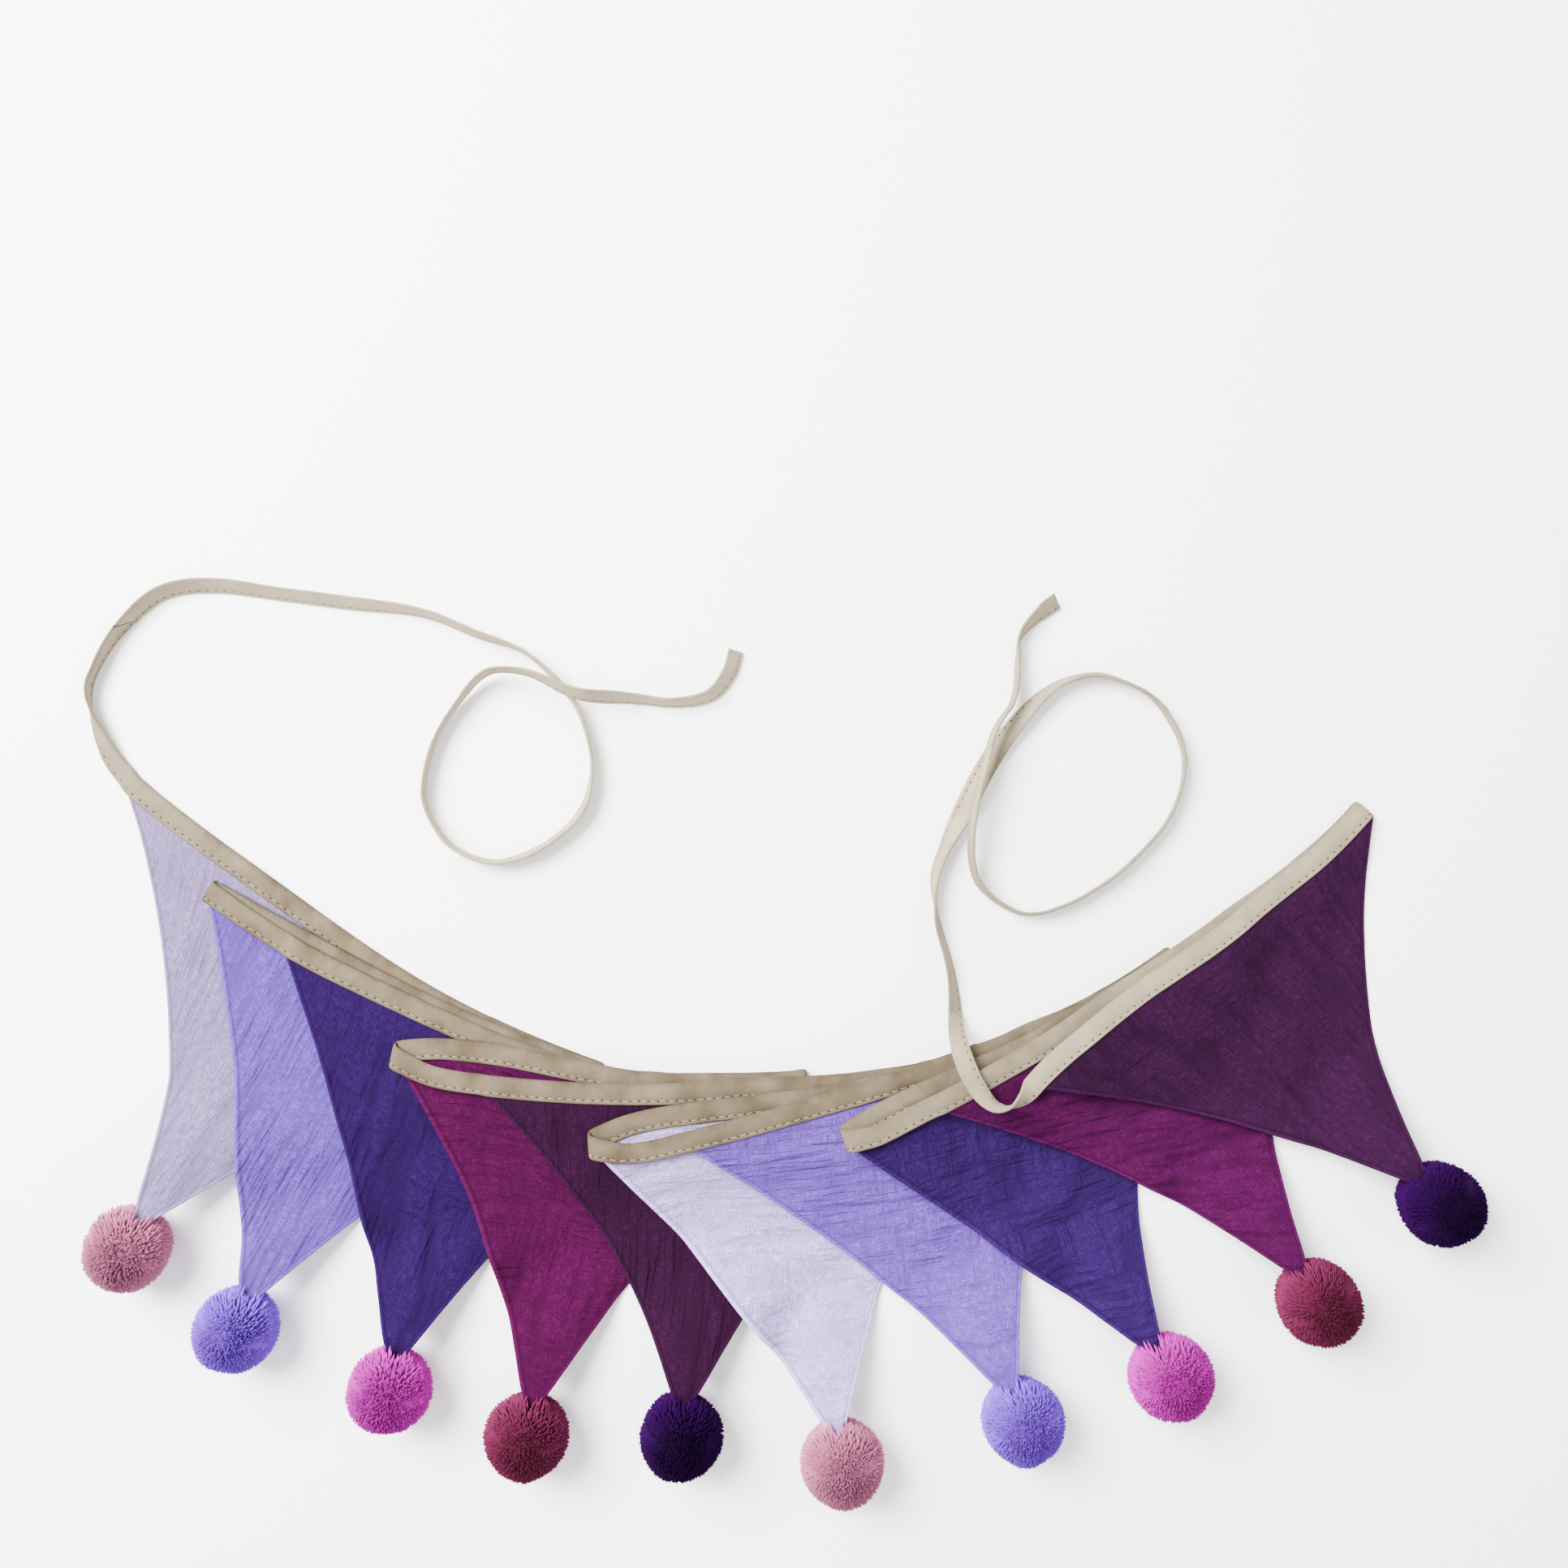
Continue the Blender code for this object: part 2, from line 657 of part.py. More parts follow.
def core_mesh():
    """A ball of thirty equal diamonds, one facing +X with its long way along Y."""
    ball = bmesh.new()
    bmesh.ops.create_icosphere(ball, subdivisions=1, radius=CORE_RADIUS)
    old_edges = list(ball.edges)
    poked = bmesh.ops.poke(ball, faces=list(ball.faces))
    obtuse = math.sqrt(3.0 / (2.0 + (1.0 + math.sqrt(5.0)) / 2.0))
    for vertex in poked["verts"]:
        vertex.co = vertex.co.normalized() * CORE_RADIUS * obtuse
    bmesh.ops.dissolve_edges(ball, edges=old_edges, use_verts=False)
    ball.faces.ensure_lookup_table()
    face = ball.faces[0]
    facing = face.calc_center_median().normalized()
    longest = max(face.verts, key=lambda v: v.co.length).co
    long_way = (longest - facing * longest.dot(facing)).normalized()
    turn = Matrix((facing, long_way, facing.cross(long_way)))
    bmesh.ops.transform(ball, matrix=turn.to_4x4(), verts=ball.verts)
    return ball


def lock_length(direction, reach):
    """How far a lock reaches in a direction before it meets the surface."""
    if direction.z < 0.0:
        return min(reach, POMPOM_HEIGHT / -direction.z)
    return reach


def grow_lock(ball, face, reach):
    """Draw one lock of yarn out of a face of the core. The lowest ones stand on the surface."""
    axis = face.calc_center_median().normalized()
    stands = -axis.z > FOOT_STEEPNESS
    grown = bmesh.ops.extrude_discrete_faces(ball, faces=[face])["faces"][0]
    taper = FOOT_TAPER if stands else LOCK_TAPER
    end = POMPOM_HEIGHT * 2 if stands else reach - LOCK_SHOULDER
    for vertex in grown.verts:
        direction = vertex.co.normalized().lerp(axis, taper).normalized()
        vertex.co = direction * lock_length(direction, end)
    if not stands:
        crown = bmesh.ops.poke(ball, faces=[grown])["verts"][0]
        crown.co = axis * lock_length(axis, reach)


def pompom_mesh(name, number, hang):
    """A pompom round its own centre, with room between the locks for the flag's tip."""
    ball = core_mesh()
    rise = math.atan2(TIP_ABOVE_CENTRE, POMPOM_RADIUS - 1.0)
    towards = Vector((-hang[0] * math.cos(rise), -hang[1] * math.cos(rise), math.sin(rise)))
    level = Vector((hang[1], -hang[0], 0.0)).normalized()
    turn = Matrix((towards, level, towards.cross(level))).transposed()
    bmesh.ops.transform(ball, matrix=turn.to_4x4(), verts=ball.verts)
    faces = sorted(ball.faces, key=lambda f: f.calc_center_median().dot(towards))
    for index, face in enumerate(faces[:-1]):
        uneven = LOCK_UNEVEN * math.sin(2.4 * index + number)
        grow_lock(ball, face, POMPOM_RADIUS - LOCK_UNEVEN + uneven)
    bmesh.ops.scale(ball, vec=(MM, MM, MM), verts=ball.verts)
    mesh = bpy.data.meshes.new(name)
    ball.to_mesh(mesh)
    ball.free()
    return mesh


def middle_of(meshes):
    """The middle in plan, in metres, of placed meshes."""
    spots = [v.co + place for mesh, place in meshes for v in mesh.vertices]
    low = [min(s[i] for s in spots) for i in range(2)]
    high = [max(s[i] for s in spots) for i in range(2)]
    return Vector(((low[0] + high[0]) / 2, (low[1] + high[1]) / 2, 0.0))


def clear_scene():
    for old in list(bpy.data.objects):
        bpy.data.objects.remove(old, do_unlink=True)


def build():
    clear_scene()
    collection = bpy.data.collections.new("fabric_bunting")
    bpy.context.scene.collection.children.link(collection)
    origin = bpy.data.objects.new("bunting_origin", None)
    collection.objects.link(origin)

    stations, flags = lay_down()
    tape = tape_mesh(stations)
    add_object("tape", tape, origin, material("tape", TAPE_COLOUR))
    placed = [(tape, Vector((0.0, 0.0, 0.0)))]

    for number, (points, faces, tip, hang) in enumerate(flags):
        label = f"{number + 1:02d}"
        shade = number % len(FLAG_COLOURS)
        cloth = add_object(
            f"flag_{label}",
            mesh_of(f"flag_{label}", points, faces),
            origin,
            material(f"flag_{label}", FLAG_COLOURS[shade]),
        )
        thick = cloth.modifiers.new("cloth", "SOLIDIFY")
        thick.thickness = FLAG_THICK * MM
        thick.offset = 0.0
        ball = pompom_mesh(f"pompom_{label}", number, hang)
        pompom = add_object(
            f"pompom_{label}", ball, origin, material(f"pompom_{label}", POMPOM_COLOURS[shade])
        )
        centre = FLAGS[number].pompom
        pompom.location = Vector((centre[0], centre[1], POMPOM_HEIGHT)) * MM
        placed.append((ball, pompom.location))

    origin.location = -middle_of(placed)
    bpy.context.view_layer.update()


build()
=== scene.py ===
"""The fabric bunting's looks: finer cloth, stitching, yarn, materials, light and camera.

The tape's route and the flags' folds are worked out as in the part's source, in
millimetres, and every mesh is made in metres, moved by ORIGIN into the part's frame.
"""

import math
from collections import namedtuple

import bmesh
import bpy
import numpy as np
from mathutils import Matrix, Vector


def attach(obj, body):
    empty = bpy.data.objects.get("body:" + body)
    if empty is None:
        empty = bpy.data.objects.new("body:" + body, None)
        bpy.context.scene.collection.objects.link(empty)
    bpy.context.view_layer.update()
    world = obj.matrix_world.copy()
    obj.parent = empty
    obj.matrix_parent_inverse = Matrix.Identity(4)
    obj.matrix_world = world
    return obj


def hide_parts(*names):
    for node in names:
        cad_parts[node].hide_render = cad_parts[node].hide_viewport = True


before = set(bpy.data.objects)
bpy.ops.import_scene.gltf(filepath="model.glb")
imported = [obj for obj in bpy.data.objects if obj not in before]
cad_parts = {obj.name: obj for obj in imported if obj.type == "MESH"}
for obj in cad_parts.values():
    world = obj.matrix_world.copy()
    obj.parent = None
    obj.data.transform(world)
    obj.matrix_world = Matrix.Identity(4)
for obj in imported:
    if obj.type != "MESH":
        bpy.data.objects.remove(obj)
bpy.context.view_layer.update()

MM = 0.001
ORIGIN = np.array((4.44, -5.673, 0.0))

# The photograph's camera: straight above, in millimetres of the route's own plan
CAMERA_PLACE = (0.0, 123.4, 615.0)
CAMERA_SENSOR = 36.0
CAMERA_LENS = 29.63

# Cloth and tape, as in the part
FLAG_WIDTH = 200.0
FLAG_THICK = 1.2
TAPE_WIDTH = 10.0
TAPE_THICK = 1.6
BINDING_THICK = 3.0
FLAG_IN_SLOT = 4.5
GAP_BETWEEN_FLAGS = 50.0
CORNER_TO_FOLD = 3.0
SLOT_PAST_FLAG = 0.6
THICKEN_LENGTH = 3.0
POMPOM_RADIUS = 20.0
POMPOM_HEIGHT = 18.2
TIP_TO_CENTRE = 10.4
TIP_ABOVE_CENTRE = 6.0
LAYER_GAP = 0.6
TIP_LEVEL = 13.0
TIP_SLOPE = 0.45
CREASE_BLEND = 14.0
MAP_CELL = 2.0
MAP_HALF = (345.0, 235.0)
REACH_CELLS = 4
SOFT_CELLS = 2
TAPE_LOOKOUT = (-8.0, -4.0, 0.0, 4.0, 8.0)
FLAG_LOOKOUT = 7.0
TAPE_SLOPE = 0.35
FLAG_ROWS = 12
GAP_STEP = 12.0
TIE_STEP = 9.0
FOLD_STEPS = 4
CURVE_SAMPLES = 100
TIE_SAMPLES = 12

# The tape's finer loft, with softer folds, puckers and a groove for the seam
TAPE_FINE = 1.6
TAPE_FINEST = 0.25
FOLD_STEEPNESS = 1.5
FOLD_SOFTNESS = 7.5
FOLD_REACH = 25.0
THICKNESS_SOFTNESS = 3.5
PUCKER = 0.16
GROOVE = 0.66
STITCH_AT = 0.6
BIAS_JOIN_AT = 0.5892

# Stitches and needle holes
SEAM_LEVEL = GROOVE + 0.10
STITCH_PITCH = 4.3
STITCH_LENGTH = 3.0
STITCH_HALF = 0.17
STITCH_RISE = 0.5
STITCH_SIDES = 5
HOLE_HALF = 0.45
HOLE_STRETCH = 1.25
HOLE_TOP = 0.10
HOLE_BOTTOM = 0.20
HOLE_SIDES = 6

# The flags' finer cloth and its turned side seams
CLOTH_ROWS = 136
CLOTH_THICK = 0.62
CRINKLE_DEPTH = 0.62
FLAG_LENGTH = 165.0
SIDE_SLANT = 0.8
SEAM_FROM_EDGE = 2.6
SEAM_DEPTH = 0.22
FLOOR_CLEAR = 0.02

# The pompoms' yarn ends: each has two rings, as shares of its length and their radii
CORE_RADIUS = 17.6
CORE_ROOM = 0.9
TUFTS = 3200
YARN_SIDES = 3
YARN_RINGS = ((0.78, 0.46), (0.94, 0.55))
YARN_ROOM = 0.95
YARN_JITTER = 0.030
YARN_ROUNDNESS = 1.5
TIP_COVER = 12.0

# Weaves: threads to the metre, how far they lean from the cloth's edge, and their unevenness
GAUZE_WEAVE = (300.0, 6.0)
TAPE_WEAVE = (420.0, 45.0)
THREAD_UNEVENNESS = {"Distortion": 1.6, "Detail": 2.0, "Detail Scale": 0.35}

FLOOR_HALF = 3000.0
FLOOR_LEVEL = -0.3

Run = namedtuple("Run", "left left_angle inner_left inner_right right right_angle")
RUNS = (
    Run((-308.5, 122.0), -41.0, (-253.5, 80.0), (-167.5, 21.5), (-84.8, -15.0), -20.0),
    Run((-272.7, 74.4), -30.0, (-241.5, 57.0), (-165.5, 17.5), (-84.8, -15.0), -19.0),
    Run((-272.7, 74.4), -38.0, (-205.5, 33.0), (-86.5, -14.0), (13.1, -16.9), 8.0),
    Run((-183.7, -2.4), 15.0, (-141.0, -2.0), (-63.5, -16.5), (13.1, -16.9), 4.0),
    Run((-183.7, -2.4), -42.0, (-140.5, -16.5), (-25.0, -20.0), (96.0, -3.4), 27.0),
    Run((-91.6, -43.3), 30.0, (-62.5, -32.0), (28.0, -21.5), (96.0, -3.4), 24.0),
    Run((-91.6, -43.3), -28.0, (-32.5, -38.5), (123.5, 7.5), (187.4, 43.6), 36.0),
    Run((26.2, -41.4), 45.0, (54.0, -24.5), (122.5, 5.0), (187.4, 43.6), 36.0),
    Run((26.2, -41.4), -12.0, (57.5, -31.0), (145.5, 17.0), (277.2, 113.8), 49.0),
    Run((116.0, -14.0), 48.0, (156.0, 19.0), (216.0, 60.0), (277.2, 113.8), 52.0),
)

# Each flag as in the part, then its crinkles: those that run down from the tape (warp) and
# those along it (weft), each with its strength and spacing
Flag = namedtuple("Flag", "pompom left_drawn_in right_drawn_in warp warp_gap weft weft_gap lean")
FLAGS = (
    Flag((-303.6, -91.6), 12.0, 0.0, 0.85, 5.6, 0.15, 6.0, 3.0),
    Flag((-253.3, -128.4), 2.0, 7.0, 1.00, 5.0, 0.10, 6.0, 2.0),
    Flag((-182.3, -156.6), 0.0, 8.0, 1.00, 6.2, 0.50, 5.2, 2.0),
    Flag((-119.1, -178.0), 6.0, 3.0, 0.55, 5.4, 0.60, 5.6, 0.0),
    Flag((-47.7, -178.0), 8.0, 2.0, 0.95, 4.8, 0.25, 6.0, 5.0),
    Flag((27.1, -190.4), 2.0, 6.0, 0.45, 6.0, 0.65, 7.0, 0.0),
    Flag((110.5, -171.2), 2.0, 9.0, 0.75, 5.4, 0.85, 6.2, -4.0),
    Flag((178.9, -150.6), -3.0, 12.0, 0.85, 5.6, 0.95, 6.0, -6.0),
    Flag((247.3, -116.0), 6.0, 12.0, 0.35, 6.0, 1.15, 8.6, -15.0),
    Flag((303.6, -70.5), 4.0, 10.0, 0.80, 5.6, 0.30, 6.0, 4.0),
)

# The ties, from their flags outwards: x, y, the tape's roll in degrees and its lift
LEFT_TIE = (
    (-320.6, 138.4, 20, 0), (-328.9, 164.3, 75, 0), (-324.4, 180.6, 84, 0), (-312.9, 197.9, 101, 0),
    (-294.2, 213.8, 115, 0), (-269.8, 217.4, 124, 0), (-237.2, 213.2, 120, 0), (-206.0, 209.2, 120, 0),
    (-171.7, 204.6, 107, 0), (-145.0, 194.3, 105, 0), (-123.5, 186.3, 95, 0), (-106.2, 171.1, 106, 0),
    (-96.6, 156.5, 101, 0), (-90.8, 133.4, 100, 0), (-94.5, 113.0, 110, 0), (-106.3, 99.4, 104, 0),
    (-121.6, 90.1, 103, 0), (-139.0, 86.6, 95, 0), (-156.9, 93.9, 87, 0), (-167.8, 108.4, 83, 0),
    (-170.5, 121.8, 83, 0), (-165.4, 143.7, 83, 0), (-154.3, 161.4, 88, 0.8), (-141.4, 175.0, 96, 4),
    (-127.9, 176.8, 100, 8), (-114.8, 173.6, 106, 11.2), (-102.3, 167.6, 116, 12.2),
    (-92.1, 164.6, 120, 11), (-81.0, 164.2, 124, 5.5), (-68.2, 163.6, 113, 0), (-52.7, 161.9, 110, 0),
    (-35.1, 165.2, 120, 0), (-26.0, 176.1, 130, 0), (-22.8, 186.5, 130, 0),
)
RIGHT_TIE = (
    (110.8, -20.3, 35, 0), (103.7, -24.4, 75, 0), (95.8, -23.3, 115, 0), (89.1, -16.6, 145, 0),
    (84.0, -7.2, 155, 0), (80.9, 3.7, 150, 0), (80.7, 18.1, 130, 0), (78.3, 37.2, 112, 0),
    (72.5, 58.3, 106, 0), (71.3, 78.4, 76, 0), (76.7, 94.2, 64, 0), (85.3, 110.7, 24, 0),
    (95.2, 130.1, 20, 0), (108.3, 150.0, 42, 0), (125.2, 167.6, 70, 0), (141.5, 174.6, 80, 0),
    (154.7, 173.9, 76, 0), (173.0, 165.5, 84, 0), (183.5, 152.4, 87, 0), (189.1, 137.1, 81, 0),
    (187.3, 119.7, 78, 0), (180.4, 104.7, 78, 0), (171.1, 93.7, 78, 0), (157.8, 80.9, 81, 0),
    (142.7, 71.0, 80, 0), (131.8, 65.6, 81, 0), (115.8, 61.8, 82, 0), (102.1, 67.2, 82, 0),
    (90.9, 78.1, 82, 2.5), (87.5, 95.3, 83, 7), (89.5, 113.8, 84, 8.5), (94.1, 132.6, 84, 8.5),
    (98.4, 148.8, 86, 9), (107.9, 163.0, 88, 4), (110.6, 180.9, 90, 0), (111.5, 192.8, 104, 0),
    (119.8, 202.9, 124, 0), (129.2, 210.2, 136, 0),
)

# Colours as the photograph shows them, in sRGB from 0 to 255
TAPE_COLOUR = (166, 152, 128)
# The tape's painted shade, where the runs lie stacked and at its edges
TAPE_SHADE = (76, 65, 49)
STITCH_COLOUR = (140, 128, 106)
# The needle holes' painted shade
HOLE_SHADE_COLOUR = (34, 26, 18)
FLAG_COLOURS = (
    (122, 107, 147),
    (85, 61, 145),
    (34, 13, 61),
    (61, 7, 49),
    (39, 11, 37),
    (174, 157, 213),
    (99, 68, 163),
    (42, 20, 72),
    (63, 9, 55),
    (43, 14, 43),
)
POMPOM_COLOURS = (
    (108, 59, 80),
    (70, 37, 125),
    (105, 15, 92),
    (56, 15, 31),
    (13, 0, 24),
)

Station = namedtuple("Station", "folded stitched thick slotted")


def unit(vector):
    """The vector at length one."""
    return vector / np.linalg.norm(vector)


def heading(degrees):
    """A direction in plan from its angle."""
    return np.array((math.cos(math.radians(degrees)), math.sin(math.radians(degrees))))


def right_of(direction):
    """The direction in plan that lies to the right of another."""
    return np.array((direction[1], -direction[0]))


def cubic(t, start, start_tangent, end, end_tangent):
    """Points of a cubic from start to end, at shares t of the way."""
    return (
        (2 * t**3 - 3 * t**2 + 1) * start
        + (t**3 - 2 * t**2 + t) * start_tangent
        + (3 * t**2 - 2 * t**3) * end
        + (t**3 - t**2) * end_tangent
    )


def shares(steps):
    """Even shares of the way, without the last."""
    return np.arange(steps)[:, None] / steps


class Path:
    """A line of points that is read by the length along it."""

    def __init__(self, points):
        self.points = points
        steps = np.linalg.norm(np.diff(points, axis=0), axis=1)
        self.at_point = np.concatenate(([0.0], np.cumsum(steps)))
        self.length = self.at_point[-1]

    def at(self, distance):
        columns = range(self.points.shape[1])
        return np.array([np.interp(distance, self.at_point, self.points[:, i]) for i in columns])

    def direction(self, distance, span=1.0):
        ahead = min(distance + span, self.length)
        behind = max(distance - span, 0.0)
        return unit(self.at(ahead)[:2] - self.at(behind)[:2])


def cells(points):
    """Where points lie in the height map, in cells along X and Y."""
    return (np.asarray(points)[..., :2] + MAP_HALF) / MAP_CELL


def shifted(grid, offsets):
    """A grid shifted by each offset, with its rim carried on."""
    reach = max(max(offset) for offset in offsets)
    wide = np.pad(grid, reach, mode="edge")
    rows, columns = grid.shape
    return [wide[reach + i:reach + i + rows, reach + j:reach + j + columns] for i, j in offsets]


class HeightMap:
    """How high the cloth already laid down reaches, over a grid of the plan."""

    def __init__(self):
        self.top = np.zeros([int(2 * half / MAP_CELL) + 1 for half in MAP_HALF[::-1]])
        self.bed = self.top.copy()

    def add_triangle(self, corners, rise):
        """Raise the map to a triangle's face, carried up by rise."""
        p = np.array(corners)
        column, row = cells(p).T
        across = np.arange(int(column.min()), int(column.max()) + 2)
        along = np.arange(int(row.min()), int(row.max()) + 2)
        x, y = np.meshgrid(across, along)
        area = (column[1] - column[0]) * (row[2] - row[0])
        area -= (column[2] - column[0]) * (row[1] - row[0])
        if abs(area) < 1e-6:
            return
        b = ((x - column[0]) * (row[2] - row[0]) - (column[2] - column[0]) * (y - row[0])) / area
        c = ((column[1] - column[0]) * (y - row[0]) - (x - column[0]) * (row[1] - row[0])) / area
        a = 1.0 - b - c
        inside = (a > -0.2) & (b > -0.2) & (c > -0.2)
        height = a * p[0, 2] + b * p[1, 2] + c * p[2, 2] + rise
        height = np.minimum(height, p[:, 2].max() + rise)
        patch = self.top[along[0]:along[-1] + 1, across[0]:across[-1] + 1]
        np.maximum(patch, np.where(inside, height, 0.0), out=patch)

    def add_quad(self, a, b, c, d, rise):
        self.add_triangle((a, b, c), rise)
        self.add_triangle((a, c, d), rise)

    def settle(self):
        """Work out the soft bed that the next layer lies on."""
        near = range(-REACH_CELLS, REACH_CELLS + 1)
        disc = [(i, j) for i in near for j in near if math.hypot(i, j) <= REACH_CELLS + 0.5]
        soft = range(-SOFT_CELLS, SOFT_CELLS + 1)
        grown = np.max(shifted(self.top, disc), axis=0)
        self.bed = np.mean(shifted(grown, [(i, j) for i in soft for j in soft]), axis=0)

    def height(self, point):
        """The bed's height under a point of the plan."""
        column, row = cells(point)
        i = int(row)
        j = int(column)
        u = column - j
        near, far = (1 - u) * self.bed[i:i + 2, j] + u * self.bed[i:i + 2, j + 1]
        return (1 + i - row) * near + (row - i) * far

    def height_along(self, point, direction):
        """The highest bed just before, at and just after a point of the tape."""
        return max(self.height(point + direction * ahead) for ahead in TAPE_LOOKOUT)

    def height_around(self, point):
        """The highest bed at a point of a flag and in a ring round it."""
        ring = [point + FLAG_LOOKOUT * heading(45.0 * turn) for turn in range(8)]
        return max(self.height(spot) for spot in [point] + ring)


def run_path(number):
    """The plan of one run of tape, in the direction in which the tape goes."""
    run = RUNS[number]
    stops = np.array((run.left, run.inner_left, run.inner_right, run.right))
    headings = (
        heading(run.left_angle),
        unit(stops[2] - stops[0]),
        unit(stops[3] - stops[1]),
        heading(run.right_angle),
    )
    pieces = []
    for i in range(3):
        reach = np.linalg.norm(stops[i + 1] - stops[i])
        ends = stops[i], reach * headings[i], stops[i + 1], reach * headings[i + 1]
        pieces.append(cubic(shares(CURVE_SAMPLES), *ends))
    points = np.concatenate(pieces + [stops[-1:]])
    return Path(points[::-1] if number % 2 else points)


def crease_between(number, path, next_path):
    """The half width of tape that lies along the fold after a run, towards the flags."""
    outward = unit(path.direction(path.length) - next_path.direction(0.0))
    side = (-1.0) ** number
    along = side * right_of(outward)
    straight = side * right_of(path.direction(path.length))
    return along * TAPE_WIDTH / 2 / abs(np.dot(along, straight)), outward


def flag_span(number, path):
    """Where a run's flag starts and ends along the run."""
    if number % 2:
        return CORNER_TO_FOLD, path.length - CORNER_TO_FOLD * (number < len(RUNS) - 1)
    start = GAP_BETWEEN_FLAGS * (number > 0)
    return start, start + FLAG_WIDTH


def bare_marks(low, high):
    """Marks along a bare length of tape."""
    steps = round((high - low) / GAP_STEP)
    return [(float(u), TAPE_THICK, False) for u in np.linspace(low, high, steps + 1)]


def run_marks(number, path):
    """The lengths along a run where the tape gets a station, with thickness and slot."""
    start, end = flag_span(number, path)
    marks = []
    if start > CORNER_TO_FOLD:
        marks += bare_marks(0.0, start - THICKEN_LENGTH)
    elif start > 0.0:
        marks += bare_marks(0.0, 0.0)
    marks.append((start - SLOT_PAST_FLAG, BINDING_THICK, True))
    marks += [(float(u), BINDING_THICK, True) for u in np.linspace(start, end, FLAG_ROWS + 1)]
    marks.append((end + SLOT_PAST_FLAG, BINDING_THICK, True))
    rest = path.length - end
    if rest > CORNER_TO_FOLD:
        marks += bare_marks(end + THICKEN_LENGTH, path.length)
    elif rest > 0.0:
        marks += bare_marks(path.length, path.length)
    return marks


def eased(heights, distances):
    """Heights raised where needed so that the tape nowhere slopes too steeply."""
    apart = np.abs(distances[:, None] - distances[None, :])
    return np.max(heights[None, :] - TAPE_SLOPE * apart, axis=1)


def run_stations(number, path, creases, bed):
    """The tape's stations along one run, laid on the bed."""
    side = (-1.0) ** number
    marks = run_marks(number, path)
    edges = ([], [])
    for distance, thick, slotted in marks:
        inside = min(max(distance, 0.0), path.length)
        forward = path.direction(inside)
        middle = path.at(inside) + forward * (distance - inside)
        half = side * right_of(forward) * TAPE_WIDTH / 2
        for crease, away in zip(creases, (distance, path.length - distance)):
            if crease is not None and away < CREASE_BLEND:
                share = 1.0 - max(away, 0.0) / CREASE_BLEND
                half = half * (1.0 - share) + crease * share
        for edge, point in zip(edges, (middle - half, middle + half)):
            edge.append((point[0], point[1], bed.height_along(point, forward) + thick / 2))
    distances = np.array([mark[0] for mark in marks])
    laid = []
    for edge in edges:
        points = np.array(edge)
        points[:, 2] = eased(points[:, 2], distances)
        laid.append(points)
    return [Station(a, b, *mark[1:]) for a, b, mark in zip(*laid, marks)]


def fold_stations(before, after, outward):
    """The stations that roll the tape up and over at a fold."""
    rise = (after.folded[2] + after.stitched[2] - before.folded[2] - before.stitched[2]) / 4
    stations = []
    for step in range(1, FOLD_STEPS):
        angle = math.pi * step / FOLD_STEPS
        out = np.append(outward * rise * math.sin(angle), 0.0)
        share = (1.0 - math.cos(angle)) / 2
        edges = [low + (high - low) * share + out for low, high in zip(before[:2], after[:2])]
        stations.append(Station(*edges, TAPE_THICK, False))
    return stations


def smooth_route(rows):
    """A smooth line through a tie's rows, as x, y, roll and lift."""
    points = np.array(rows, dtype=float)
    ends = np.concatenate((2 * points[:1] - points[1:2], points, 2 * points[-1:] - points[-2:-1]))
    pieces = []
    for i in range(1, len(ends) - 2):
        into = (ends[i + 1] - ends[i - 1]) / 2
        out = (ends[i + 2] - ends[i]) / 2
        pieces.append(cubic(shares(TIE_SAMPLES), ends[i], into, ends[i + 1], out))
    return Path(np.concatenate(pieces + [points[-1:]]))


def tie_stations(rows, root, side, bed):
    """The stations of a free tie, from its flag outwards, with the root station left out."""
    start = (root.folded + root.stitched) / 2
    path = smooth_route(((start[0], start[1], 0.0, 0.0),) + rows)
    steps = round(path.length / TIE_STEP)
    stations = []
    for step in range(1, steps + 1):
        distance = path.length * step / steps
        x, y, roll, lift = path.at(distance)
        if step == steps - 1:
            roll = path.at(path.length)[2]
        level = side * right_of(path.direction(distance, TIE_STEP / 2))
        turn = math.radians(roll)
        base = bed.height((x, y)) if bed else 0.0
        middle_height = TAPE_WIDTH / 2 * abs(math.sin(turn)) + TAPE_THICK / 2 * abs(math.cos(turn))
        middle = np.array((x, y, base + lift + middle_height))
        half = TAPE_WIDTH / 2 * np.append(math.cos(turn) * level, -math.sin(turn))
        stations.append(Station(middle - half, middle + half, TAPE_THICK, False))
    return stations


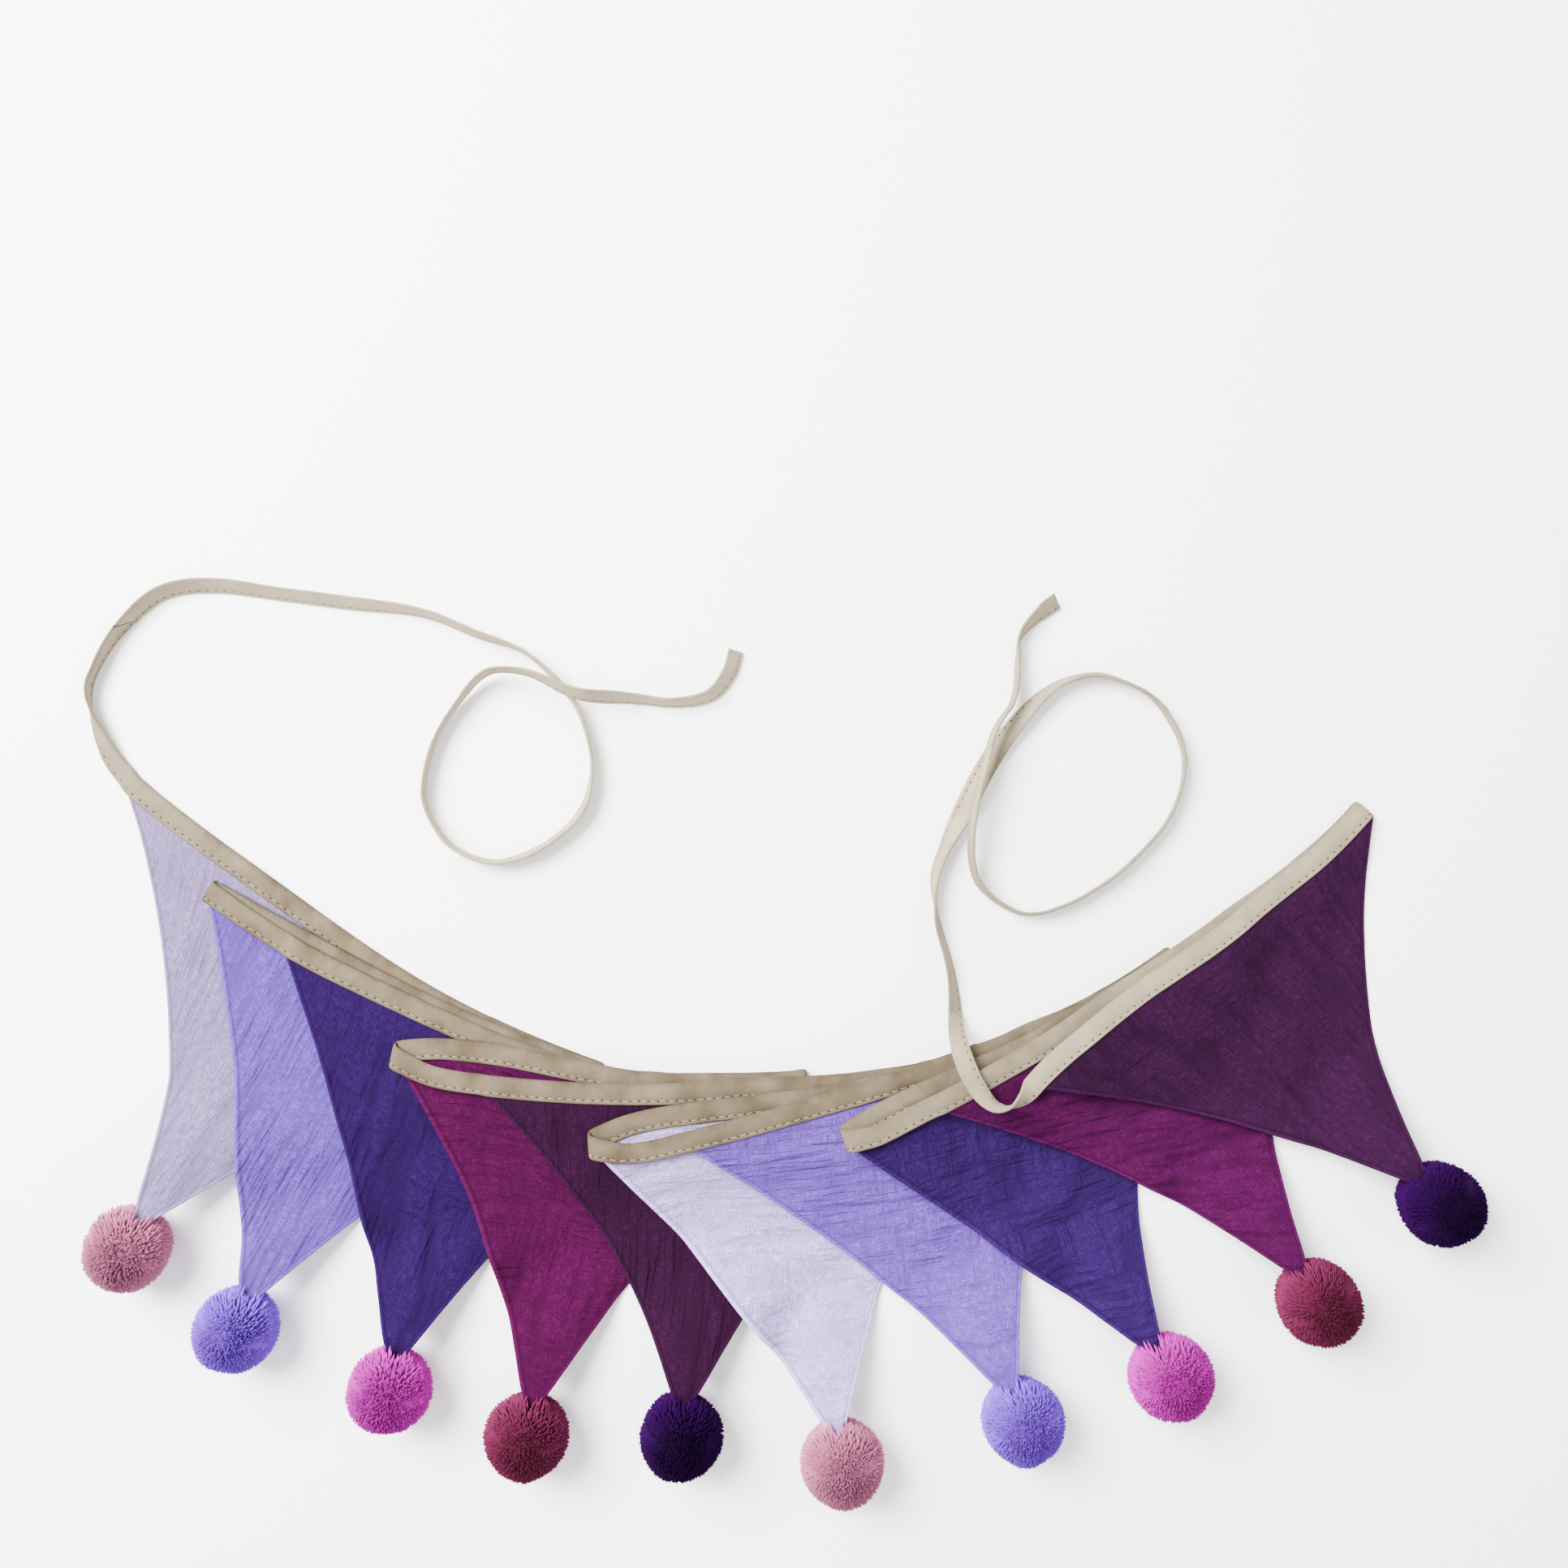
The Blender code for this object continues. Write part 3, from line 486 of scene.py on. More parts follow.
def flag_grid(number, stations, bed):
    """A flag's coarse rows of heights, its tip in plan and the numbers of its top stations."""
    numbers = [i for i, s in enumerate(stations) if s.slotted][1:-1]
    if number % 2:
        numbers = numbers[::-1]
    top = [stations[i].stitched for i in numbers]
    flag = FLAGS[number]
    pompom = np.array(flag.pompom)
    top_middle = (top[0] + top[-1])[:2] / 2
    hang = unit(pompom - top_middle)
    tip = pompom - hang * TIP_TO_CENTRE
    left_in = -right_of(unit(tip - top[0][:2])) * flag.left_drawn_in
    right_in = right_of(unit(tip - top[-1][:2])) * flag.right_drawn_in
    tip_height = POMPOM_HEIGHT + TIP_ABOVE_CENTRE
    rows = [np.array(top)]
    for row in range(1, FLAG_ROWS + 1):
        down = row / FLAG_ROWS
        count = FLAG_ROWS - row
        points = []
        for column in range(count + 1):
            across = column / count if count else 0.5
            index = across * FLAG_ROWS
            low = min(int(index), FLAG_ROWS - 1)
            on_top = top[low] + (top[low + 1] - top[low]) * (index - low)
            place = on_top[:2] * (1 - down) + tip * down
            bow = 4 * down * (1 - down)
            place = place + bow * ((1 - across) * left_in + across * right_in)
            from_tip = np.linalg.norm(place - tip)
            ramp = tip_height - TIP_SLOPE * max(from_tip - TIP_LEVEL, 0.0)
            height = max(bed.height_around(place) + FLAG_THICK / 2, ramp)
            points.append((place[0], place[1], height))
        rows.append(np.array(points))
    return rows, numbers, tip, hang, left_in, right_in


def lay_down():
    """Lay every run and flag on those before it, as the part does."""
    bed = HeightMap()
    paths = [run_path(number) for number in range(len(RUNS))]
    creases = [crease_between(i, paths[i], paths[i + 1]) for i in range(len(RUNS) - 1)]
    stations = []
    flags = []
    for number, path in enumerate(paths):
        first = creases[number - 1][0] if number > 0 else None
        last = creases[number][0] if number < len(RUNS) - 1 else None
        laid = run_stations(number, path, (first, last), bed)
        if number > 0:
            stations += fold_stations(stations[-1], laid[0], creases[number - 1][1])
        at = len(stations)
        stations += laid
        rows, numbers, tip, hang, left_in, right_in = flag_grid(number, laid, bed)
        flags.append((rows, [at + i for i in numbers], tip, hang, left_in, right_in))
        if number == len(paths) - 1:
            break
        for here, there in zip(laid, laid[1:]):
            rise = max(here.thick, there.thick) / 2 + LAYER_GAP
            bed.add_quad(here.folded, here.stitched, there.stitched, there.folded, rise)
        rise = FLAG_THICK / 2 + LAYER_GAP
        inner = []
        for i in numbers:
            across = laid[i].folded - laid[i].stitched
            inner.append(laid[i].stitched + across * FLAG_IN_SLOT / TAPE_WIDTH)
        for column in range(FLAG_ROWS):
            top = rows[0]
            bed.add_quad(inner[column], top[column], top[column + 1], inner[column + 1], rise)
        for upper, lower in zip(rows, rows[1:]):
            for column in range(len(lower)):
                bed.add_triangle((upper[column], lower[column], upper[column + 1]), rise)
                if column < len(lower) - 1:
                    corners = (upper[column + 1], lower[column], lower[column + 1])
                    bed.add_triangle(corners, rise)
        bed.settle()
    left = tie_stations(LEFT_TIE, stations[0], -1.0, None)
    right = tie_stations(RIGHT_TIE, stations[-1], -1.0, bed)
    flags = [(f[0], [len(left) + i for i in f[1]], *f[2:]) for f in flags]
    return left[::-1] + stations + right, flags


def smooth_at(at, values, wanted):
    """A smooth curve through values given at increasing places, read at the wanted places."""
    values = np.asarray(values, dtype=float)
    flat = values.reshape(len(values), -1)
    gaps = np.diff(at)[:, None]
    slopes = np.diff(flat, axis=0) / gaps
    tangents = np.empty_like(flat)
    tangents[0] = slopes[0]
    tangents[-1] = slopes[-1]
    tangents[1:-1] = (gaps[:-1] * slopes[1:] + gaps[1:] * slopes[:-1]) / (gaps[:-1] + gaps[1:])
    i = np.clip(np.searchsorted(at, wanted, side="right") - 1, 0, len(at) - 2)
    gap = gaps[i]
    t = ((wanted - at[i]) / gap[:, 0])[:, None]
    result = cubic(t, flat[i], gap * tangents[i], flat[i + 1], gap * tangents[i + 1])
    return result.reshape((len(wanted),) + values.shape[1:])


def lattice(x, y, seed):
    """A repeatable number from -1 to 1 for each whole x and y."""
    value = np.sin(x * 127.1 + y * 311.7 + seed * 74.7) * 43758.5453
    return 2.0 * (value - np.floor(value)) - 1.0


def noise(x, y, seed):
    """Smooth noise from -1 to 1 over a plane."""
    i = np.floor(x)
    j = np.floor(y)
    u = x - i
    v = y - j
    u = u * u * (3.0 - 2.0 * u)
    v = v * v * (3.0 - 2.0 * v)
    near = lattice(i, j, seed) * (1 - u) + lattice(i + 1, j, seed) * u
    far = lattice(i, j + 1, seed) * (1 - u) + lattice(i + 1, j + 1, seed) * u
    return near * (1 - v) + far * v


def linear(colour):
    """An sRGB colour from 0 to 255 as Blender's linear one."""
    part = [c / 255.0 for c in colour]
    part = [c / 12.92 if c <= 0.04045 else ((c + 0.055) / 1.055) ** 2.4 for c in part]
    return (*part, 1.0)


def mesh_object(name, points, faces):
    """An object in the part's frame from points in millimetres of the plan."""
    mesh = bpy.data.meshes.new(name)
    placed = (np.asarray(points) + ORIGIN) * MM
    mesh.from_pydata([tuple(p) for p in placed], [], faces)
    mesh.validate()
    mesh.polygons.foreach_set("use_smooth", [True] * len(mesh.polygons))
    made = bpy.data.objects.new(name, mesh)
    bpy.context.scene.collection.objects.link(made)
    return made


def tube_faces(base, rings, size):
    """A tube's sides and the face that closes its start, from the number of its first point."""
    faces = [tuple(range(base + size - 1, base - 1, -1))]
    for a in range(base, base + (rings - 1) * size, size):
        for k in range(size):
            j = (k + 1) % size
            faces.append((a + k, a + j, a + size + j, a + size + k))
    return faces


def set_uv(piece, across):
    """Give a piece's mesh a UV map from one pair of numbers for each point."""
    layer = piece.data.uv_layers.new(name="cloth")
    loops = np.empty(len(piece.data.loops), dtype=np.int32)
    piece.data.loops.foreach_get("vertex_index", loops)
    layer.data.foreach_set("uv", np.asarray(across, dtype=np.float32)[loops].ravel())


# The camera comes first, then the pieces
camera_data = bpy.data.cameras.new("camera")
camera_data.sensor_width = CAMERA_SENSOR
camera_data.lens = CAMERA_LENS
camera_data.clip_start = 0.01
camera = bpy.data.objects.new("camera", camera_data)
camera.location = Vector((np.array(CAMERA_PLACE) + ORIGIN) * MM)
bpy.context.scene.collection.objects.link(camera)
bpy.context.scene.camera = camera

stations, flags = lay_down()


def is_fold(number):
    """Whether the tape turns back on itself at a station."""
    steps = middles[number] - middles[number - 1], middles[number + 1] - middles[number]
    return any(abs(step[2]) > np.linalg.norm(step[:2]) * FOLD_STEEPNESS for step in steps)


def rounded_off(edge):
    """An edge of the tape in plan with its corners at the folds rounded."""
    result = edge.copy()
    for place in fold_at:
        for i in np.nonzero(np.abs(fine_at - place) < FOLD_REACH)[0]:
            share = 1.0 - abs(fine_at[i] - place) / FOLD_REACH
            window = np.nonzero(np.abs(fine_at - fine_at[i]) < 3 * FOLD_SOFTNESS)[0]
            weight = np.exp(-0.5 * ((fine_at[window] - fine_at[i]) / FOLD_SOFTNESS) ** 2)
            mean = (edge[window] * weight[:, None]).sum(axis=0) / weight.sum()
            soft = min(2.0 * share, 1.0)
            candidate = edge[i] * (1 - soft) + mean * soft
            if np.linalg.norm(candidate - edge[i]) > np.linalg.norm(result[i] - edge[i]):
                result[i] = candidate
    return result


# The tape as a finer loft: its places along the tape, its two edges and its thickness
folded = np.array([s.folded for s in stations])
stitched = np.array([s.stitched for s in stations])
middles = (folded + stitched) / 2
station_at = np.concatenate(([0.0], np.cumsum(np.linalg.norm(np.diff(middles, axis=0), axis=1))))
tape_length = station_at[-1]
fine_at = np.linspace(0.0, tape_length, int(tape_length / TAPE_FINE))
fine_at = np.unique(np.concatenate((fine_at, station_at)))
keep = np.concatenate(([True], np.diff(fine_at) > TAPE_FINEST))
keep[-1] = True
fine_at = fine_at[keep]
fine_folded = smooth_at(station_at, folded, fine_at)
fine_stitched = smooth_at(station_at, stitched, fine_at)
fold_at = [station_at[i] for i in range(1, len(stations) - 1) if is_fold(i)]
for edge in (fine_folded, fine_stitched):
    edge[:, :2] = rounded_off(edge[:, :2])
fine_open = np.interp(fine_at, station_at, [float(s.slotted) for s in stations])
fine_thick = np.interp(fine_at, station_at, [s.thick for s in stations])
softening = np.exp(-0.5 * ((fine_at[:, None] - fine_at[None, :]) / THICKNESS_SOFTNESS) ** 2)
fine_thick = softening @ fine_thick / softening.sum(axis=1)
fine_middle = (fine_folded + fine_stitched) / 2
fine_half = (fine_stitched - fine_folded) / 2
fine_through = np.cross(np.gradient(fine_middle, fine_at, axis=0), fine_half)
fine_through /= np.linalg.norm(fine_through, axis=1)[:, None]


def tape_section(thickness, opening, wave):
    """A section of the tape, as across (-1 to 1) and through (millimetres)."""
    edge = thickness / 2
    crown = 0.88 + 0.10 * wave
    lip = 0.08 + 0.57 * opening
    floor = 0.72 - 0.72 * opening
    points = [
        (-1.0, 0.0),
        (-0.985, -0.40 * edge),
        (-0.93, -0.70 * edge),
        (-0.80, -crown * edge),
        (-0.38, -1.0 * edge),
        (0.10, -0.96 * edge),
        (STITCH_AT - 0.17, -0.90 * edge),
        (STITCH_AT, -GROOVE * edge),
        (STITCH_AT + 0.14, -0.86 * edge),
        (0.93, -0.82 * edge),
        (1.0, -(0.8 * edge + lip) / 2),
        (0.97, -lip),
        (floor, -lip),
    ]
    return points + [(a, -b) for a, b in points[:0:-1]]


flat_section = np.array(tape_section(1.0, 0.0, 0.0))
ring_size = len(flat_section)
wave = noise(fine_at / 5.0, fine_at * 0.0, 3.0) + 0.6 * noise(fine_at / 1.9, fine_at * 0.0, 5.0)
tape_points = []
for i in range(len(fine_at)):
    profile = np.array(tape_section(fine_thick[i], fine_open[i], wave[i]))
    pucker = PUCKER * wave[i] * np.clip(0.2 - profile[:, 0], 0.0, 1.0)
    through = (profile[:, 1] * (1.0 + pucker))[:, None] * fine_through[i]
    tape_points.append(fine_middle[i] + profile[:, :1] * fine_half[i] + through)
tape_points = np.concatenate(tape_points)
tape_points[:, 2] = np.maximum(tape_points[:, 2], 0.0)
tape_faces = tube_faces(0, len(fine_at), ring_size)
tape_faces.append(tuple(range(len(tape_points) - ring_size, len(tape_points))))
tape = mesh_object("tape_cloth", tape_points, tape_faces)
across_tape = flat_section[:, 0] * TAPE_WIDTH / 2
tape_uv = np.stack((np.repeat(fine_at, ring_size), np.tile(across_tape, len(fine_at))), axis=1)
set_uv(tape, tape_uv * MM)
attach(tape, "root")
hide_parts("tape")

# The stitching: thread, and needle holes as small lenses of painted shade, along both faces of the tape.
# A stitch's profile is its place along, its width and its rise, each as a share.
STITCH_PROFILE = (
    (-1.0, 0.35, -0.10),
    (-0.6, 0.9, 0.05),
    (0.0, 1.0, 0.12),
    (0.6, 0.9, 0.05),
    (1.0, 0.35, -0.10),
)
stitch_points = []
stitch_faces = []


def seam_at(distance, drift, face_side, turning):
    """A point of the seam, with the ways to the tape's edge, through it and along it.

    Turning is 1 where these ways turn with the tape, and 0 where they stay those of the
    section before the point.
    """
    index = np.interp(distance, fine_at, np.arange(len(fine_at)))
    i = min(int(index), len(fine_at) - 2)
    t = index - i
    middle = fine_middle[i] * (1 - t) + fine_middle[i + 1] * t
    t *= turning
    half, up, level = (
        values[i] * (1 - t) + values[i + 1] * t for values in (fine_half, fine_through, fine_thick)
    )
    side_way = half / (TAPE_WIDTH / 2)
    spot = middle + half * STITCH_AT + side_way * drift + up * face_side * SEAM_LEVEL * level / 2
    return spot, side_way, up, unit(fine_middle[i + 1] - fine_middle[i])


def add_stitch(number, centre, drift, face_side):
    """A short thread that dips into the cloth at both ends."""
    slope = 0.10 * math.sin(number * 2.3 + face_side)
    reach = STITCH_LENGTH / 2 * (1.0 + 0.06 * math.sin(number * 3.1))
    base = len(stitch_points)
    for along, width, rise in STITCH_PROFILE:
        place = min(max(centre + along * reach, 0.0), tape_length)
        spot, side_way, up, forward = seam_at(place, drift + slope * along, face_side, 1.0)
        spot = spot + up * face_side * STITCH_RISE * rise
        for k in range(STITCH_SIDES):
            turn = 2 * math.pi * k / STITCH_SIDES
            offset = side_way * math.cos(turn) + up * math.sin(turn)
            stitch_points.append(spot + offset * STITCH_HALF * width)
    stitch_faces.extend(tube_faces(base, len(STITCH_PROFILE), STITCH_SIDES))
    stitch_faces.append(tuple(range(len(stitch_points) - STITCH_SIDES, len(stitch_points))))


def add_hole(distance, drift, face_side):
    """A needle hole: a small lens of painted shade in the groove between two stitches."""
    spot, side_way, up, forward = seam_at(distance, drift, face_side, 0.0)
    base = len(stitch_points)
    for k in range(HOLE_SIDES):
        turn = 2 * math.pi * k / HOLE_SIDES
        rim = side_way * math.cos(turn) + forward * HOLE_STRETCH * math.sin(turn)
        stitch_points.append(spot + rim * HOLE_HALF)
    stitch_points.append(spot + up * face_side * HOLE_TOP)
    stitch_points.append(spot - up * face_side * HOLE_BOTTOM)
    top = base + HOLE_SIDES
    for k in range(HOLE_SIDES):
        j = (k + 1) % HOLE_SIDES
        stitch_faces.append((base + k, base + j, top))
        stitch_faces.append((base + j, base + k, top + 1))


for face_side in (-1.0, 1.0):
    for number in range(int(tape_length / STITCH_PITCH)):
        centre = (number + 0.5) * STITCH_PITCH
        drift = 0.12 * math.sin(number * 1.7) + 0.08 * math.sin(number * 0.61)
        add_stitch(number, centre, drift, face_side)
        add_hole(centre + STITCH_PITCH / 2, drift, face_side)
stitch_points = np.array(stitch_points)
stitch_points[:, 2] = np.maximum(stitch_points[:, 2], 0.0)
stitches = mesh_object("tape_stitches", stitch_points, stitch_faces)
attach(stitches, "root")

# The flags' points: rows that grow shorter towards the tip
grid = np.arange(CLOTH_ROWS + 1) / CLOTH_ROWS
ragged_row = np.concatenate([np.full(CLOTH_ROWS - i + 1, i) for i in range(CLOTH_ROWS + 1)])
ragged_column = np.concatenate([np.arange(CLOTH_ROWS - i + 1) for i in range(CLOTH_ROWS + 1)])
row_size = CLOTH_ROWS - ragged_row
ragged_down = ragged_row / CLOTH_ROWS
ragged_across = np.where(row_size > 0, ragged_column / np.maximum(row_size, 1), 0.5)
row_start = np.concatenate(([0], np.cumsum(CLOTH_ROWS + 1 - np.arange(CLOTH_ROWS + 1))))


def flag_heights(rows):
    """A flag's heights over a fine grid of down and across, smoothed between coarse rows."""
    lines = []
    for row in rows:
        heights = np.resize(row[:, 2], max(len(row), 2))
        lines.append(smooth_at(np.linspace(0.0, 1.0, len(heights)), heights, grid))
    return smooth_at(np.linspace(0.0, 1.0, FLAG_ROWS + 1), np.array(lines), grid)


def folds(p, q, gap, seed):
    """Uneven soft ridges with sharper troughs, gap apart across p and long along q."""
    p = p + 0.45 * gap * noise(p / 21.0, q / 17.0, seed + 1)
    p = p + 0.30 * gap * noise(p / 60.0, q / 9.0, seed + 2)
    wide = noise(p / gap, q / 27.0, seed + 3)
    small = noise(1.9 * p / gap, q / 15.0, seed + 4)
    value = wide + 0.35 * small
    return value - 0.5 * np.abs(value) + 0.2


def crinkles(number, u, v):
    """The height of the gauze's crinkles at points of a flag's own cloth."""
    flag = FLAGS[number]
    seed = number * 7.0
    lean = math.radians(flag.lean)
    along = u * math.cos(lean) + v * math.sin(lean)
    down = v * math.cos(lean) - u * math.sin(lean)
    uneven = noise(u / 38.0, v / 30.0, seed + 5)
    warp = flag.warp * (0.75 + 0.45 * uneven) * folds(along, down, flag.warp_gap, seed + 10)
    weft = flag.weft * (0.75 - 0.45 * uneven) * folds(down, along, flag.weft_gap, seed + 20)
    return CRINKLE_DEPTH * (warp + weft)


def flag_faces(start):
    """The faces of one side of a flag's cloth; start is its first point inside the slot."""
    faces = []
    for i in range(CLOTH_ROWS):
        a = row_start[i]
        b = row_start[i + 1]
        for k in range(CLOTH_ROWS - i):
            faces.append((a + k, b + k, a + k + 1))
            if k < CLOTH_ROWS - i - 1:
                faces.append((a + k + 1, b + k, b + k + 1))
    for k in range(CLOTH_ROWS):
        faces.append((start + k, k, k + 1, start + k + 1))
    return faces


def flag_piece(number):
    """One flag's cloth as a closed thin sheet, its points, its area and its length."""
    rows, numbers, tip, hang, left_in, right_in = flags[number]
    heights = flag_heights(rows)
    ends = station_at[numbers[0]], station_at[numbers[-1]]
    want = ends[0] + (ends[1] - ends[0]) * ragged_across
    top = smooth_at(station_at, stitched, want)
    down = ragged_down[:, None]
    across = ragged_across[:, None]
    place = top[:, :2] * (1 - down) + tip * down
    place = place + 4 * down * (1 - down) * ((1 - across) * left_in + across * right_in)
    column = ragged_across * CLOTH_ROWS
    low = np.minimum(column.astype(int), CLOTH_ROWS - 1)
    share = column - low
    height = heights[ragged_row, low] * (1 - share) + heights[ragged_row, low + 1] * share
    height = np.where(ragged_row == 0, top[:, 2], height)

    # Crinkles, calmer at the tape and the seams, and a groove along each turned seam
    step = FLAG_WIDTH / CLOTH_ROWS
    edge = np.minimum(ragged_column, row_size - ragged_column) * step * SIDE_SLANT
    below_tape = ragged_down * FLAG_LENGTH
    calm = np.clip(below_tape / 9.0, 0.0, 1.0) * np.clip(edge / 3.5, 0.35, 1.0)
    u = (ragged_column + 0.5 * ragged_row) * step
    relief = crinkles(number, u, -below_tape) * calm
    seam = np.exp(-(edge - SEAM_FROM_EDGE) ** 2) * np.clip(below_tape / 6.0, 0.0, 1.0)
    height = np.maximum(height + relief - SEAM_DEPTH * seam, 0.75 * CLOTH_THICK + 0.06)
    sheet = np.stack((place[:, 0], place[:, 1], height), axis=1)

    # One more row above carries the cloth into the slot
    first = np.arange(CLOTH_ROWS + 1)
    inner = smooth_at(station_at, folded, want[first])
    deep = top[first] + (inner - top[first]) / TAPE_WIDTH * FLAG_IN_SLOT
    points = np.concatenate((sheet, deep))
    start = len(sheet)
    faces = flag_faces(start)

    # Both sides of the cloth, thicker where the seams are turned
    spread = np.zeros_like(points)
    triangles = [f[:3] for f in faces] + [(f[0], f[2], f[3]) for f in faces if len(f) == 4]
    triangles = np.array(triangles)
    corner = points[triangles]
    normal = np.cross(corner[:, 1] - corner[:, 0], corner[:, 2] - corner[:, 0])
    for k in range(3):
        np.add.at(spread, triangles[:, k], normal)
    spread /= np.linalg.norm(spread, axis=1)[:, None]
    half = np.full(len(points), CLOTH_THICK / 2)
    half[:start] *= 1.0 + 0.5 * np.exp(-((edge - 1.0) / 0.9) ** 2)
    spread *= half[:, None]
    count = len(points)
    both = np.concatenate((points + spread, points - spread))
    both[:, 2] = np.maximum(both[:, 2], FLOOR_CLEAR)
    all_faces = faces + [tuple(count + v for v in reversed(f)) for f in faces]
    left = list(row_start[:CLOTH_ROWS + 1])
    right = [row_start[i] + CLOTH_ROWS - i for i in range(CLOTH_ROWS - 1, -1, -1)]
    rim = [start] + left + right + [start + k for k in range(CLOTH_ROWS, 0, -1)]
    for a, b in zip(rim, rim[1:] + rim[:1]):
        all_faces.append((b, a, count + a, count + b))

    piece = mesh_object(f"flag_cloth_{number + 1:02d}", both, all_faces)
    u = np.concatenate((u, first * step))
    v = np.concatenate((-below_tape, np.full(len(first), FLAG_IN_SLOT)))
    uv = np.stack((u, v), axis=1) * MM
    set_uv(piece, np.concatenate((uv, uv)))
    for title, values in (("seam_distance", edge), ("relief", relief)):
        values = np.concatenate((values, np.zeros(len(first))))
        store = piece.data.attributes.new(title, "FLOAT", "POINT")
        store.data.foreach_set("value", np.concatenate((values, values)).astype(np.float32))
    area = np.linalg.norm(normal, axis=1).sum() / 2
    length = np.linalg.norm((top[0] + top[CLOTH_ROWS]) / 2 - sheet[-1]) + FLAG_IN_SLOT
    return piece, sheet, area, length


def yarn_directions(number):
    """Directions spread evenly over a ball, each a little off its place."""
    index = np.arange(TUFTS) * 1.0
    z = 1.0 - 2.0 * (index + 0.5) / TUFTS
    turn = (index + 0.5) * math.pi * (3.0 - math.sqrt(5.0)) + number
    flat = np.sqrt(1.0 - z * z)
    spread = np.stack((flat * np.cos(turn), flat * np.sin(turn), z), axis=1)
    jitter = [lattice(index, index * 0.37 + axis, number + 1.0) for axis in range(3)]
    spread += YARN_JITTER * np.stack(jitter, axis=1)
    return spread / np.linalg.norm(spread, axis=1)[:, None]


def free_length(centre, way, length, close, room):
    """How far yarn can reach from a pompom's middle before the flag's tip is in its way."""
    if way[2] < 0.0:
        length = min(length, (POMPOM_HEIGHT - 0.15) / -way[2])
    if len(close) == 0:
        return length
    stops = np.linspace(0.45, 1.0, 9) * length
    spots = centre + way * stops[:, None]
    gaps = np.linalg.norm(spots[:, None] - close[None], axis=2).min(axis=1)
    blocked = np.nonzero(gaps < room)[0]
    return stops[max(blocked[0] - 1, 0)] if len(blocked) else length


def pompom_piece(number, centre, close):
    """One pompom's yarn ends, clear of the flag's tip and of the surface."""
    ways = yarn_directions(number)
    index = np.arange(TUFTS) * 1.0
    uneven = lattice(index, index * 0.11 + 9.0, number + 3.0)
    lumps = noise(ways[:, 0] * 2.1 + 5.0, ways[:, 1] * 2.1 + ways[:, 2] * 1.7, number + 20.0)
    reach = POMPOM_RADIUS - 0.6 + 0.45 * uneven + 0.8 * lumps
    points = []
    normals = []
    faces = []
    tip_way = -flags[number][3]
    for k in range(TUFTS):
        way = ways[k]
        length = free_length(centre, way, reach[k], close, YARN_ROOM)
        if length < 0.5 * POMPOM_RADIUS:
            continue
        helper = np.array((0.0, 0.0, 1.0)) if abs(way[2]) < 0.9 else np.array((1.0, 0.0, 0.0))
        one = unit(np.cross(way, helper))
        two = np.cross(way, one)
        sway, drop, twist = (lattice(k * 1.0, draw, number) for draw in (1.0, 2.0, 3.0))
        lean = 0.7 * (one * sway + two * drop)
        if way[2] > 0.42 and np.dot(way[:2], tip_way) > 0.1:
            lean = lean + np.array((tip_way[0], tip_way[1], -0.1)) * TIP_COVER * (1.0 - way[2])
        base = len(points)
        for share, wide in YARN_RINGS:
            at = centre + way * length * share + lean * share**4
            for s in range(YARN_SIDES):
                turn = 3.0 * twist + 2 * math.pi * s / YARN_SIDES
                bulge = wide * (1.0 + 0.22 * math.cos(2 * turn + k))
                side_way = one * math.cos(turn) + two * math.sin(turn)
                points.append(at + side_way * bulge)
                normals.append(unit(way + YARN_ROUNDNESS * side_way))
        top = len(points) - YARN_SIDES
        points.append(centre + way * length + lean)
        normals.append(way)
        faces += tube_faces(base, len(YARN_RINGS), YARN_SIDES)
        for s in range(YARN_SIDES):
            faces.append((top + s, top + (s + 1) % YARN_SIDES, top + YARN_SIDES))
    points = np.array(points)
    points[:, 2] = np.maximum(points[:, 2], 0.0)
    made = mesh_object(f"pompom_yarn_{number + 1:02d}", points, faces)
    if len(made.data.vertices) == len(normals):
        made.data.normals_split_custom_set_from_vertices([tuple(n) for n in normals])
    return made


def core_piece(number, centre, close):
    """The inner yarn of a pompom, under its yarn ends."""
    ball = bmesh.new()
    bmesh.ops.create_icosphere(ball, subdivisions=4, radius=1.0)
    ball.verts.index_update()
    points = []
    for vertex in ball.verts:
        way = np.array(vertex.co)
        rough = 0.35 * noise(way[0] * 9.0 + 4.0, way[1] * 9.0 + way[2] * 6.0, number + 40.0)
        points.append(centre + way * free_length(centre, way, CORE_RADIUS + rough, close, CORE_ROOM))
    faces = [[vertex.index for vertex in face.verts] for face in ball.faces]
    ball.free()
    return mesh_object(f"pompom_middle_{number + 1:02d}", points, faces)


def shade(colour, times):
    """A colour made lighter or darker."""
    return (*(min(c * times, 1.0) for c in colour[:3]), 1.0)


